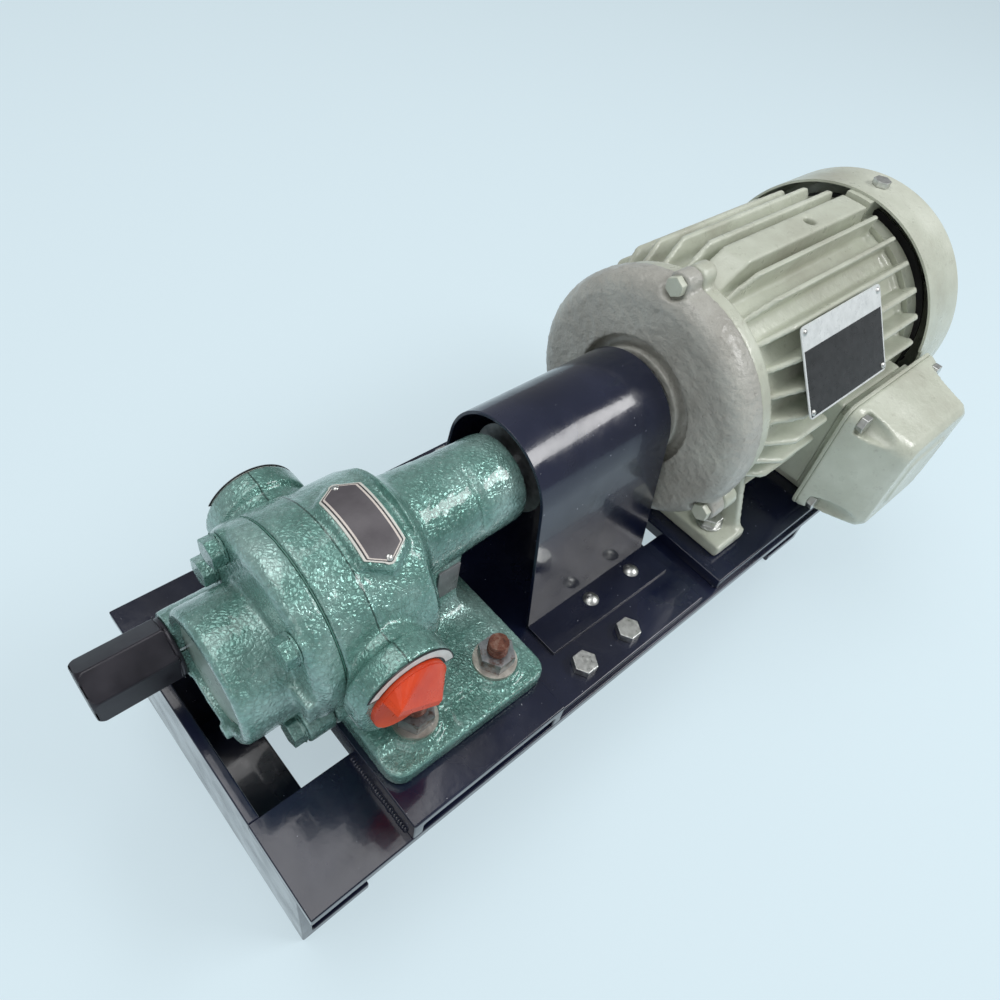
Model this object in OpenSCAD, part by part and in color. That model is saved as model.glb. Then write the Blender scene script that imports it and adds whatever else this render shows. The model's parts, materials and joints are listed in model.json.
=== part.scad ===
// Gear pump set: an external gear pump with a built-in relief valve, coupled to a foot
// mounted electric motor on a welded steel base frame, with a sheet coupling guard.
// Origin: centre of the base frame on the floor. X runs from pump to motor, Z is up,
// the suction side of the pump faces -Y.

/* [Base frame] */
// Overall length of the base frame
frame_len = 450; // [440:1:500]
// Overall width across the rail flanges
frame_w = 194; // [188:1:220]
// Height of the rail tops above the floor
base_h = 75; // [66:1:90]
// Thickness of the angle sections
steel_t = 6; // [5:0.5:7]
// Clear width between the two rails
rail_gap = 90; // [84:1:96]
// Width of the floor leg of a cross member
cross_foot = 40; // [34:1:46]
// How far a cross member's end stops short of the flange edge
cross_inset = 12; // [8:1:15]
// Size of the angle bars that stiffen the middle of the frame
brace_size = 36; // [28:1:42]
// Diameter of the foundation bolt holes
foundation_hole_d = 12; // [9:0.5:14]

/* [Pads and plates] */
// Length of the raised pump pad
pump_pad_len = 96.5; // [94:0.5:100]
// Thickness of the pad's top and walls
pad_t = 6; // [5:0.5:7]
// Thickness of the plate below the coupling guard
mid_plate_t = 4; // [3:0.5:6]
// Length of the plate below the coupling guard
mid_plate_len = 124; // [122:1:130]
// Thickness of the plate below the motor
motor_plate_t = 8; // [6:0.5:12]
// Length of the plate below the motor
motor_plate_len = 149; // [140:1:156]
// How far the plates stop short of the rail edges
plate_inset = 2; // [0:0.5:4]

/* [Motor] */
// Shaft height of the motor
motor_h = 80; // [79:0.5:84]
// Where the drive end face of the motor stands
motor_x = 54; // [52:0.5:58]
// Radius of the end shields
shield_r = 75; // [73:0.5:76]
// Thickness of the drive end shield
shield_t = 20; // [18:0.5:22]
// Length of the ribbed motor housing
housing_len = 166; // [162:1:170]
// Outer radius of the housing between its fins
housing_r = 66; // [65:0.5:68]
// Bore radius of the housing
housing_bore_r = 60; // [58:0.5:61]
// Radius over the fins
fin_r = 80; // [78:0.5:80.5]
// Thickness of one fin
fin_t = 3.4; // [2.6:0.1:4]
// Angle from fin to fin
fin_pitch = 12.5; // [12:0.25:13.5]
// Distance of the first foot bolt behind the drive end face
foot_bolt_x = 35.5; // [34:0.5:38]
// Distance between foot bolts along the motor
foot_pitch_x = 100; // [96:1:104]
// Distance between foot bolts across the motor
foot_pitch_y = 125; // [122:1:128]
// Width over the motor feet
motor_foot_w = 162; // [158:1:166]
// Thickness of the motor feet
motor_foot_t = 9; // [8:0.5:11]
// Diameter of the motor shaft extension
motor_shaft_d = 19; // [17:0.5:20]
// Radius of the stator bore
stator_bore_r = 40; // [38:0.5:44]
// Air gap between stator and rotor
air_gap = 0.4; // [0.3:0.05:0.6]
// Length of the stator core
core_len = 90; // [80:1:100]
// Outer radius of the fan cowl
cowl_r = 83; // [82.5:0.5:86]
// Length of the fan cowl
cowl_len = 47; // [46:1:60]
// Sheet thickness of the fan cowl
cowl_t = 1.5; // [1.2:0.1:2]
// Number of fan blades
blade_n = 7; // [5:1:9]
// Diameter of the motor's foot bolts
motor_bolt_d = 8; // [7:0.5:9]
// Diameter of the shield and cowl screws
shield_bolt_d = 6; // [5:0.5:7]

/* [Terminal box] */
// Length of the terminal box along the motor
box_len = 106; // [98:1:108]
// Height of the terminal box
box_h = 85; // [78:1:90]
// Depth of the terminal box lid
lid_depth = 40; // [34:1:46]
// Wall thickness of the box and lid
box_wall = 4; // [3:0.5:5]
// Height of the box centre above the shaft
box_up = -30; // [-33:1:-28]

/* [Pump] */
// Height of the pump's drive shaft above its foot
pump_h = 73; // [71:0.5:76]
// Where the joint between pump body and cover stands
seam_x = -172; // [-174:0.5:-170]
// Distance between the drive and idler shafts
gear_cd = 32; // [31.5:0.1:32.5]
// Number of teeth on each gear
teeth = 12; // [11:1:13]
// Width of the gears
gear_w = 38; // [34:0.5:40]
// Outer radius of the pump casing
case_r = 48; // [46.5:0.5:50]
// Length of the pump body
body_len = 53; // [51:0.5:56]
// Thickness of the front cover
cover_t = 14; // [13:0.5:17]
// Radius of the port flanges
port_r = 25; // [23.5:0.5:26]
// Distance from the pump's middle to a port face
port_y = 63; // [60:0.5:66]
// Bore radius of the port threads
port_bore_r = 15.15; // [13:0.05:16.5]
// Depth of the port threads
port_depth = 18; // [14:0.5:20]
// Length of the pump foot
pump_foot_len = 97; // [92:1:100]
// Width of the pump foot
pump_foot_w = 158; // [150:1:164]
// Thickness of the pump foot
pump_foot_t = 10.5; // [9:0.5:12]
// Distance between the pump foot bolts along the shaft
pump_bolt_pitch = 51; // [48:1:54]
// Distance from the pump's middle to a foot bolt
pump_bolt_y = 59; // [57:0.5:62]
// Diameter of the pump foot studs
pump_stud_d = 10; // [8:0.5:12]
// Diameter of the pump drive shaft
drive_shaft_d = 18; // [16:0.5:18.5]
// Diameter of the idler shaft
idler_shaft_d = 16; // [14:0.5:17]
// Outer radius of the shaft bushes
bush_r = 12; // [11.5:0.1:12.5]
// Radius of the bearing neck at its end
neck_end_r = 23.5; // [22.5:0.5:26]
// Length of the bearing neck behind the body
neck_len = 70; // [66:0.5:74]
// Radius of the ring of cover screws
cover_bolt_ring = 40; // [39:0.5:41]
// Radius of the round boss on the front cover
boss_r = 34; // [32:0.5:35]
// Length of the front boss
boss_len = 27; // [24:0.5:30]

/* [Relief valve] */
// Sideways offset of the relief valve
valve_y = 32; // [31:0.5:33]
// Height of the relief valve below the idler shaft
valve_drop = 13; // [12:0.5:14]
// Radius of the relief valve boss
valve_boss_r = 17; // [16:0.5:18]
// Width across the flats of the valve cap
cap_af = 27; // [25:0.5:29]
// Length of the valve cap
cap_len = 41; // [38:0.5:44]
// Lift of the valve
valve_lift = 3; // [2:0.25:4]
// Number of spring turns
spring_turns = 6; // [4:1:8]

/* [Coupling and guard] */
// Radius of the coupling hubs
hub_r = 25; // [22:0.5:27]
// Length of each coupling hub
hub_len = 28; // [24:0.5:29]
// Thickness of the coupling spider
spider_t = 12; // [10:0.5:14]
// Outer radius of the guard's arch
guard_r = 36; // [34:0.5:38]
// Sheet thickness of the guard
guard_t = 2; // [1.5:0.5:3]
// Length of the guard
guard_len = 98; // [92:1:100]
// Sideways reach of the guard legs at the plate
guard_spread = 47; // [44:0.5:49]
// Sideways reach of the guard's foot flanges
guard_foot = 68; // [66:1:70]
// Diameter of the guard screws
guard_screw_d = 5; // [4:0.5:6]
// Distance of the guard's rear edge from the motor face
guard_gap = 8; // [5:0.5:10]

/* [Fits] */
// Running clearance of the shafts in their bushes, on the radius
run_gap = 0.05; // [0.03:0.01:0.1]
// Clearance of bolts and screws in their holes, on the radius
bolt_gap = 0.5; // [0.3:0.1:0.8]
// Clearance between the gear tips and the casing
tip_gap = 0.12; // [0.08:0.01:0.3]
// Clearance at each side of the gears
side_gap = 0.1; // [0.05:0.01:0.2]
// Backlash between the gears
backlash = 0.25; // [0.2:0.01:0.4]
// Clearance between parts that sit close but don't touch
sit_gap = 0.3; // [0.2:0.05:0.4]
// Thickness of the cover gasket
gasket_t = 0.5; // [0.4:0.1:1]

/* [Hidden] */
$fn = 64;
eps = 0.01;
rail_in = rail_gap / 2;
rail_leg = rail_in + steel_t;
cross_half = frame_w / 2 - cross_inset;
foundation_y = (rail_leg + cross_half) / 2;
foundation_x = frame_len / 2 - cross_foot / 2;
shaft_z = base_h + motor_plate_t + motor_h;
pad_top = shaft_z - pump_h;
mid_top = base_h + mid_plate_t;
motor_top = base_h + motor_plate_t;
plate_w = frame_w - 2 * plate_inset;

pump_mid_z = shaft_z - gear_cd / 2;
idler_z = shaft_z - gear_cd;
body_end = seam_x + body_len;
cover_back = seam_x - gasket_t;
cover_front = cover_back - cover_t;
boss_face = cover_front - boss_len;
neck_end = body_end + neck_len;
port_x = seam_x + side_gap + gear_w / 2;
gear_x = seam_x + side_gap;
cavity_len = gear_w + 2 * side_gap;
gear_m = gear_cd / teeth;
pressure = 25;
tip_r = gear_cd / 2 + 0.9 * gear_m;
root_r = gear_cd / 2 - 1.2 * gear_m;
base_r = gear_cd / 2 * cos(pressure);
cavity_r = tip_r + tip_gap;

foot_x0 = seam_x + 4;
foot_x1 = foot_x0 + pump_foot_len;
pump_bolt_mid = (foot_x0 + foot_x1) / 2 + 2;
pump_bolt_xs = [pump_bolt_mid - pump_bolt_pitch / 2, pump_bolt_mid + pump_bolt_pitch / 2];
foot_top = pad_top + pump_foot_t;
seat_h = 2.5;
cover_round = 6;
neck_root_r = 36;
neck_root_round = 9;
cover_boss_r = 8;
seat_r = 14;
post_half = 19;
post_flare = 12;
post_x1 = foot_x1 - 14;
pad_x0 = foot_x0 - 2.5;
pad_x1 = pad_x0 + pump_pad_len;
mid_x1 = pad_x1 + mid_plate_len;
motor_plate_x0 = motor_x + 11;
motor_plate_x1 = motor_plate_x0 + motor_plate_len;

plate_pad_h = 2.5;
plate_arc_mid = 99;
plate_len = 47;
plate_wide = 21;
plate_x = seam_x + 34;
cover_bolt_d = 8;
m6_af = 10;
m8_af = 13;
m10_af = 17;
lug_r = 9;
lug_ring_r = case_r + 6;
cover_bolts_at = [for (p = [[cover_bolt_ring, 2], [cover_bolt_ring, 52],
    [cover_bolt_ring, 140], [lug_ring_r, 236]])
    [p[0] * cos(p[1]), pump_mid_z + p[0] * sin(p[1])]];
bush_len = 12;
seal_r = 17;
seal_t = 7;
valve_pocket_r = 4;
drilling_r = 3.5;
passage_r = 9;
plug_rim_r = 19;
plug_rim_t = 2.5;
grip_turn = 36;
grip_h = 8;

valve_z = idler_z - valve_drop;
valve_face = boss_face - 1;
cap_end = valve_face - cap_len;
valve_bore_r = 6.5;
valve_floor = cover_front + 4;
seat_t = 3;
seat_x = valve_floor - seat_t;
poppet_len = 8;
poppet_x = seat_x - poppet_len;
guide_len = 8;
guide_x = valve_face + guide_len;
poppet_r = valve_bore_r - 0.2;
cap_bore_r = 9;
stem_r = 3.5;
stem_len = 24;
key_fit = 0.02;
seat_fit = 0.05;
spring_r = 4.6;
spring_wire = 1.3;

housing_x0 = motor_x + shield_t;
housing_x1 = housing_x0 + housing_len;
rear_t = 16;
cowl_x0 = housing_x1 + 5;
cowl_bolt_x = cowl_x0 + 20;
rear_r = shield_r - 4;
rear_lug_w = 17;
flange_len = 11;
pad_half = 9;
eye_x = housing_x0 + 110;
cowl_x1 = cowl_x0 + cowl_len;
core_x0 = housing_x0 + (housing_len - core_len) / 2;
motor_bolt_r = shield_r + 1;
bearing_r = 20;
bearing_seat_r = 10;
rotor_seat_r = 14;
bearing_w = 12;
foot_bolt_xs = [motor_x + foot_bolt_x, motor_x + foot_bolt_x + foot_pitch_x];
shaft_end = motor_x - 54.5;
shaft_step = motor_x - 14.5;
fan_x0 = housing_x1 + rear_t + 5;
fan_x1 = cowl_x1 - 9;
fan_r = cowl_r - 12;

fin_angles = concat(
    [for (i = [1 : 8]) 90 - i * fin_pitch],
    [for (i = [1 : 6]) 90 + i * fin_pitch]);
short_fin_angles = [for (i = [7 : 10]) 90 + i * fin_pitch];
screw_angles = [90, -30, 210];
box_x0 = motor_x + 96;
box_z = shaft_z + box_up;
box_join = cowl_r + 4;
lid_face = box_join + lid_depth;
lid_bolt_d = 6;
lid_pocket_r = 7.5;
lid_bolts_at = [for (sx = [-1, 1], sz = [-1, 1])
    [box_x0 + box_len / 2 + sx * (box_len / 2 - 8), box_z + sz * (box_h / 2 - 8)]];
rating_len = 84;
rating_wide = 52;
box_floor = housing_r + 4;
box_neck_z0 = motor_top + motor_foot_t + 10;
name_angle = 146;

hub_start = shaft_end - 1;
hub_end = hub_start + hub_len;
spider_x0 = hub_start - spider_t;
pump_hub_x0 = spider_x0 - hub_len;
pump_shaft_end = spider_x0 - 1;

jaw_w = 10;
jaw_gap = 0.2;
jaw_in = hub_r / 2;

guard_x1 = motor_x - guard_gap;
guard_x0 = guard_x1 - guard_len;
guard_rise = shaft_z - mid_top;
guard_splay = acos(guard_r / norm([guard_spread, guard_rise])) - atan2(guard_rise, guard_spread);
guard_screw_y = guard_spread + 8;
screw_xs = [guard_x1 - 54.7, guard_x1 - 19.3];
mid_bolt_xs = [pad_x1 + 31, pad_x1 + 67];
mid_bolt_y = frame_w / 2 - 14;
mid_bolt_d = 8;

// Helper shapes

module slab(x0, x1, y0, y1, z0, z1) {
    translate([x0, y0, z0])
        cube([x1 - x0, y1 - y0, z1 - z0]);
}

// Round bar along X
module xbar(x0, x1, y, z, r) {
    translate([x0, y, z])
        rotate([0, 90, 0])
            cylinder(r = r, h = x1 - x0);
}

// Upright round bar
module zbar(x, y, z0, z1, r) {
    translate([x, y, z0])
        cylinder(r = r, h = z1 - z0);
}

// Round bar along Y, from y0 to y1
module ybar(x, z, y0, y1, r) {
    translate([x, y1, z])
        rotate([90, 0, 0])
            cylinder(r = r, h = y1 - y0);
}

module xhex(x0, x1, y, z, af) {
    translate([x0, y, z])
        rotate([0, 90, 0])
            cylinder(r = af / sqrt(3), h = x1 - x0, $fn = 6);
}

module zhex(x, y, z0, z1, af) {
    translate([x, y, z0])
        cylinder(r = af / sqrt(3), h = z1 - z0, $fn = 6);
}

// Flat outline with round corners, centred
module round_rect(l, w, r) {
    square([l - 2 * r, w], center = true);
    square([l, w - 2 * r], center = true);
    for (sx = [-1, 1], sy = [-1, 1])
        translate([sx * (l / 2 - r), sy * (w / 2 - r)])
            circle(r);
}

module both_sides() {
    children();
    mirror([0, 1, 0])
        children();
}

// Base frame

module rail() {
    difference() {
        union() {
            slab(-frame_len / 2 + steel_t, frame_len / 2 - steel_t, rail_in, rail_leg,
                0, base_h);
            slab(-frame_len / 2, frame_len / 2, rail_in, frame_w / 2, base_h - steel_t,
                base_h);
        }
        // notches over the floor legs of the cross members
        for (s = [-1, 1])
            translate([s * (frame_len / 2 - cross_foot / 2), rail_in + steel_t / 2,
                steel_t / 2 - eps])
                cube([cross_foot + 2 * sit_gap, 2 * steel_t, steel_t + 2 * eps],
                    center = true);
        for (x = mid_bolt_xs)
            zbar(x, mid_bolt_y, 0, base_h + 1, mid_bolt_d / 2 + bolt_gap);
        for (x = foot_bolt_xs)
            zbar(x, foot_pitch_y / 2, 0, base_h + 1, motor_bolt_d / 2 + bolt_gap);
        for (x = pump_bolt_xs)
            zbar(x, pump_bolt_y, 0, base_h + 1, pump_stud_d / 2 + bolt_gap);
    }
}

module side_rail_far() {
    color("midnightblue") rail();
}

module side_rail_near() {
    color("midnightblue") mirror([0, 1, 0]) rail();
}

module cross_member() {
    difference() {
        union() {
            slab(-frame_len / 2, -frame_len / 2 + steel_t, -cross_half, cross_half,
                0, base_h - steel_t);
            slab(-frame_len / 2, -frame_len / 2 + steel_t, -rail_in, rail_in,
                0, base_h);
            slab(-frame_len / 2, -frame_len / 2 + cross_foot, -cross_half, cross_half,
                0, steel_t);
        }
        for (s = [-1, 1])
            zbar(-foundation_x, s * foundation_y, -1, steel_t + 1,
                foundation_hole_d / 2);
    }
}

module front_cross() {
    color("midnightblue") cross_member();
}

module rear_cross() {
    color("midnightblue") mirror([1, 0, 0]) cross_member();
}

module brace(x) {
    slab(x - steel_t / 2, x + steel_t / 2, -rail_in, rail_in, base_h - brace_size, base_h);
    slab(x - brace_size / 2, x + brace_size / 2, -rail_in, rail_in,
        base_h - steel_t, base_h);
}

module pump_brace() {
    color("midnightblue") brace((pad_x0 + pad_x1) / 2);
}

module motor_brace() {
    color("midnightblue") brace((motor_plate_x0 + motor_plate_x1) / 2);
}

module pump_pad() {
    color("midnightblue")
    difference() {
        slab(pad_x0, pad_x1, -frame_w / 2, frame_w / 2, base_h, pad_top);
        slab(pad_x0 + pad_t, pad_x1 - pad_t, -frame_w / 2 - 1, frame_w / 2 + 1,
            base_h - 1, pad_top - pad_t);
        for (x = pump_bolt_xs, s = [-1, 1])
            zbar(x, s * pump_bolt_y, base_h, pad_top + 1, pump_stud_d / 2 + key_fit);
    }
}

module mid_plate() {
    color("midnightblue")
    difference() {
        slab(pad_x1, min(mid_x1, motor_plate_x0 - 4), -plate_w / 2, plate_w / 2,
            base_h, mid_top);
        for (x = mid_bolt_xs, s = [-1, 1])
            zbar(x, s * mid_bolt_y, base_h - 1, mid_top + 1, mid_bolt_d / 2 + bolt_gap);
        for (x = screw_xs, s = [-1, 1])
            zbar(x, s * guard_screw_y, base_h - 1, mid_top + 1,
                guard_screw_d / 2 + key_fit);
    }
}

module motor_plate() {
    color("midnightblue")
    difference() {
        slab(motor_plate_x0, motor_plate_x1, -plate_w / 2, plate_w / 2,
            base_h, motor_top);
        for (x = foot_bolt_xs, s = [-1, 1])
            zbar(x, s * foot_pitch_y / 2, base_h - 1, motor_top + 1,
                motor_bolt_d / 2 + bolt_gap);
    }
}

// One hex bolt standing in a hole, with its nut below
module hex_bolt(x, y, z_head, z_nut, d, af) {
    zhex(x, y, z_head, z_head + 0.65 * d, af);
    zbar(x, y, z_nut - 1.2 * d, z_head + eps, d / 2);
    zhex(x, y, z_nut - 0.8 * d, z_nut, af);
}

module mid_plate_bolts() {
    color("lightsteelblue")
    for (x = mid_bolt_xs, s = [-1, 1])
        hex_bolt(x, s * mid_bolt_y, mid_top, base_h - steel_t, mid_bolt_d, m8_af);
}

// Guard

module arch_outline(r, foot_z) {
    c = cos(guard_splay);
    s = sin(guard_splay);
    reach = r * c + (shaft_z + r * s - foot_z) * tan(guard_splay);
    circle(r);
    polygon([[r * c, r * s], [-r * c, r * s], [-reach, foot_z - shaft_z],
        [reach, foot_z - shaft_z]]);
}

module coupling_guard() {
    color("midnightblue")
    difference() {
        union() {
            translate([guard_x0, 0, shaft_z])
                rotate([90, 0, 90])
                    linear_extrude(guard_len)
                        difference() {
                            arch_outline(guard_r, mid_top);
                            arch_outline(guard_r - guard_t, mid_top - 1);
                        }
            both_sides()
                slab(guard_x0, guard_x1, guard_spread - guard_t, guard_foot,
                    mid_top, mid_top + guard_t);
        }
        for (x = screw_xs, s = [-1, 1])
            zbar(x, s * guard_screw_y, mid_top - 1, mid_top + guard_t + 1,
                guard_screw_d / 2 + bolt_gap);
    }
}

module guard_screws() {
    color("silver")
    for (x = screw_xs, s = [-1, 1]) {
        translate([x, s * guard_screw_y, mid_top + guard_t])
            intersection() {
                translate([0, 0, -guard_screw_d * 0.75])
                    sphere(guard_screw_d * 1.25);
                cylinder(r = guard_screw_d, h = guard_screw_d / 2);
            }
        zbar(x, s * guard_screw_y, base_h + sit_gap, mid_top + guard_t + eps,
            guard_screw_d / 2);
    }
}

// Pump

module nameplate_outline(l, w) {
    polygon([[-l / 2, 0], [-l / 2 + w * 0.32, w / 2], [l / 2 - w * 0.32, w / 2], [l / 2, 0],
        [l / 2 - w * 0.32, -w / 2], [-l / 2 + w * 0.32, -w / 2]]);
}

// Wedge that looks outwards from the casing at the nameplate, as a hexagonal prism
module plate_prism(l, w, h) {
    translate([plate_x, 0, pump_mid_z])
        rotate([plate_arc_mid - 90, 0, 0])
            rotate([0, 0, 90])
                linear_extrude(h)
                    nameplate_outline(l, w);
}

module pump_foot() {
    translate([(foot_x0 + foot_x1) / 2, 0, pad_top])
        linear_extrude(pump_foot_t)
            round_rect(pump_foot_len, pump_foot_w, 9);
    // raised seats round the studs, joined by a raised platform
    for (x = pump_bolt_xs, s = [-1, 1])
        zbar(x, s * pump_bolt_y, pad_top, foot_top + seat_h, seat_r);
    slab(foot_x0 + 2, foot_x1 - 6, -pump_bolt_y - 4, pump_bolt_y + 4, foot_top - 1,
        foot_top + seat_h);
}

module pump_legs() {
    // web below the casing, widening to the foot
    for (x = [seam_x + 12, body_end - 8])
        translate([x, 0, 0])
            rotate([90, 0, 90])
                linear_extrude(10)
                    polygon([[-48, foot_top - 1], [48, foot_top - 1],
                        [case_r * 0.86, pump_mid_z - 20], [-case_r * 0.86, pump_mid_z - 20]]);
    slab(seam_x + 10, body_end - 2, -30, 30, foot_top - 1, pump_mid_z);
}

// Curve from a wall at w down to a floor at 0, spreading by r
function flare(w, r) = [for (a = [0 : 15 : 90]) [w + r * (1 - cos(a)), r * (1 - sin(a))]];

// Post below the neck, spreading towards the foot
module neck_post() {
    z0 = foot_top + seat_h - eps;
    intersection() {
        translate([body_end - 2, 0, z0])
            rotate([90, 0, 90])
                linear_extrude(foot_x1 - body_end)
                    both_edges(flare(post_half, post_flare), shaft_z - z0);
        translate([0, 60, z0])
            rotate([90, 0, 0])
                linear_extrude(120)
                    polygon(concat([[body_end - 2, 0], [body_end - 2, shaft_z - z0],
                        [post_x1, shaft_z - z0]],
                        [for (p = flare(0, post_flare / 2)) [post_x1 + p[0], p[1]]]));
    }
}

// Upright outline, the same at both edges, h high, with a curved foot
module both_edges(curve, h) {
    for (s = [-1, 1])
        scale([s, 1])
            polygon(concat([[-eps, 0], [-eps, h], [curve[0][0], h]], curve));
}

module neck_shape() {
    translate([body_end, 0, shaft_z])
        rotate([0, 90, 0])
            rotate_extrude()
                polygon(concat([[0, -2], [neck_root_r, -2]],
                    [for (a = [15 : 15 : 90]) [neck_root_r - neck_root_round * sin(a),
                        neck_root_round * (1 - cos(a))]],
                    [[neck_end_r + 1.5, neck_len * 0.56], [neck_end_r + 1.2, neck_len - 9]],
                    [for (a = [0 : 15 : 90]) [neck_end_r - 4 * (1 - cos(a)) + 0.8 * cos(a),
                        neck_len - 4 * (1 - sin(a))]],
                    [[0, neck_len]]));
}

// Short curved groove before the neck's end boss, on the upper near side
module neck_groove() {
    intersection() {
        translate([body_end + neck_len * 0.56, 0, shaft_z])
            rotate([0, 90, 0])
                rotate_extrude()
                    polygon([[neck_end_r - 1, 1.5], [neck_end_r + 4, -2.5],
                        [neck_end_r + 4, 5.5], [neck_end_r - 1, 2.5]]);
        slab(body_end, neck_end, -2 * neck_end_r, -3, shaft_z + 2, shaft_z + 2 * neck_end_r);
    }
}

module case_disc(x0, x1, r) {
    xbar(x0, x1, 0, pump_mid_z, r);
}

module port(s) {
    ybar(port_x, pump_mid_z, s > 0 ? 20 : -port_y, s > 0 ? port_y : -20, port_r - 3);
    ybar(port_x, pump_mid_z, s > 0 ? port_y - 12 : -port_y, s > 0 ? port_y : -port_y + 12,
        port_r);
}

module pump_body() {
    color("cadetblue")
    difference() {
        union() {
            case_disc(seam_x, seam_x + 20, case_r);
            case_disc(seam_x + 19, body_end - 3, case_r - 1);
            case_disc(body_end - 4, body_end, case_r - 4);
            pump_foot();
            pump_legs();
            neck_post();
            neck_shape();
            xbar(seam_x, seam_x + 18, cover_bolts_at[3][0], cover_bolts_at[3][1], lug_r);
            xbar(seam_x, seam_x + 22, valve_y, valve_z, valve_boss_r - 3);
            port(1);
            port(-1);
            intersection() {
                plate_prism(plate_len + 4, plate_wide + 4, case_r + 12);
                case_disc(seam_x, body_end, case_r + plate_pad_h);
            }
        }
        neck_groove();
        // the ports stay clear of the cover
        case_disc(seam_x - port_r, seam_x, case_r + sit_gap);
        // gear chambers
        xbar(seam_x - 1, seam_x + cavity_len, 0, shaft_z, cavity_r);
        xbar(seam_x - 1, seam_x + cavity_len, 0, idler_z, cavity_r);
        // bush and seal bores
        xbar(seam_x, body_end + 2, 0, shaft_z, bush_r);
        xbar(seam_x, seam_x + cavity_len + bush_len, 0, idler_z, bush_r);
        xbar(body_end, neck_end + 1, 0, shaft_z, drive_shaft_d / 2 + 2);
        xbar(neck_end - seal_t - 1, neck_end + 1, 0, shaft_z, seal_r);
        // ports: threaded mouth and passage to the gears
        for (s = [-1, 1]) {
            ybar(port_x, pump_mid_z, s > 0 ? port_y - port_depth : -port_y - 1,
                s > 0 ? port_y + 1 : -port_y + port_depth, port_bore_r);
            ybar(port_x, pump_mid_z, s > 0 ? 4 : -port_y, s > 0 ? port_y : -4, 9);
        }
        for (x = pump_bolt_xs, s = [-1, 1])
            zbar(x, s * pump_bolt_y, pad_top - 1, foot_top + seat_h + 1,
                pump_stud_d / 2 + bolt_gap);
        for (p = cover_bolts_at)
            xbar(seam_x - 1, seam_x + 16, p[0], p[1], cover_bolt_d / 2 + key_fit);
        // pocket and drilling that lead the delivery pressure to the relief valve
        xbar(seam_x - 1, seam_x + 14 + drilling_r, valve_y, valve_z, valve_pocket_r);
        zbar(seam_x + 14, valve_y, valve_z, pump_mid_z, drilling_r);
    }
}

module front_cover() {
    color("cadetblue")
    difference() {
        union() {
            // disc with a well rounded front edge
            translate([cover_front, 0, pump_mid_z])
                rotate([0, 90, 0])
                    rotate_extrude()
                        polygon(concat([[0, 0]],
                            [for (a = [0 : 15 : 90]) [case_r - cover_round * (1 - sin(a)),
                                cover_round * (1 - cos(a))]],
                            [[case_r, cover_t], [0, cover_t]]));
            for (p = cover_bolts_at)
                xbar(cover_front, cover_back, p[0], p[1], cover_boss_r);
            xbar(boss_face + 2, cover_front + 1, 0, idler_z, boss_r);
            translate([boss_face, 0, idler_z])
                rotate([0, 90, 0])
                    cylinder(r1 = boss_r - 2, r2 = boss_r, h = 2);
            xbar(valve_face, cover_front + 1, valve_y, valve_z, valve_boss_r);
            // lug of the lower screw, and the block beside the boss
            xbar(cover_front, cover_back, cover_bolts_at[3][0], cover_bolts_at[3][1], lug_r);
            slab(cover_front - 4, cover_back, -case_r * 0.94, -case_r * 0.6,
                pump_mid_z - 14, pump_mid_z - 1);
            // small lug below the boss face
            xbar(boss_face - 2, boss_face + 4, -boss_r * 0.35, idler_z - boss_r * 0.86, 4);
        }
        // recess of the boss
        xbar(boss_face - 3, boss_face + 6, 0, idler_z, boss_r - 6.5);
        // bush bores
        xbar(cover_back - bush_len, cover_back + 1, 0, shaft_z, bush_r);
        xbar(cover_back - bush_len, cover_back + 1, 0, idler_z, bush_r);
        // relief valve: bore and inlet
        xbar(valve_face - 1, valve_floor, valve_y, valve_z, valve_bore_r);
        xbar(valve_face - 1, cover_back + 1, valve_y, valve_z, valve_pocket_r);
        for (p = cover_bolts_at)
            xbar(cover_front - 30, seam_x, p[0], p[1], cover_bolt_d / 2 + bolt_gap);
    }
}

module ring_at(x0, x1, z, r_out, r_in) {
    difference() {
        xbar(x0, x1, 0, z, r_out);
        xbar(x0 - 1, x1 + 1, 0, z, r_in);
    }
}

module cover_gasket() {
    color("dimgray")
    difference() {
        case_disc(cover_back, seam_x, case_r - 0.5);
        xbar(cover_back - 1, seam_x + 1, 0, shaft_z, cavity_r);
        xbar(cover_back - 1, seam_x + 1, 0, idler_z, cavity_r);
        xbar(cover_back - 1, seam_x + 1, valve_y, valve_z, valve_pocket_r);
        for (p = cover_bolts_at)
            xbar(cover_back - 1, seam_x + 1, p[0], p[1], cover_bolt_d / 2 + bolt_gap);
    }
}

module cover_bolts() {
    color("cadetblue")
    for (p = cover_bolts_at) {
        xbar(cover_front, seam_x + 14, p[0], p[1], cover_bolt_d / 2);
        xbar(cover_front - 1.5, cover_front, p[0], p[1], 7.4);
        xhex(cover_front - 7, cover_front - 1.5, p[0], p[1], m8_af);
    }
}

module boss_disc() {
    color("darkseagreen")
    difference() {
        xbar(boss_face + 3, boss_face + 6, 0, idler_z, boss_r - 6.5 - key_fit);
        // curved slots along the edge
        for (a = [168, 222])
            intersection() {
                ring_at(boss_face, boss_face + 8, idler_z, boss_r - 6, boss_r - 9.5);
                translate([boss_face - 1, 0, idler_z])
                    rotate([a - 90, 0, 0])
                        rotate([90, 0, 90])
                            linear_extrude(10)
                                polygon([[0, 0], [-boss_r * 0.4, boss_r], [boss_r * 0.4, boss_r]]);
            }
    }
}

module bush(x0, x1, z, shaft_d) {
    difference() {
        xbar(x0, x1, 0, z, bush_r - key_fit);
        xbar(x0 - 1, x1 + 1, 0, z, shaft_d / 2 + run_gap);
    }
}

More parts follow.
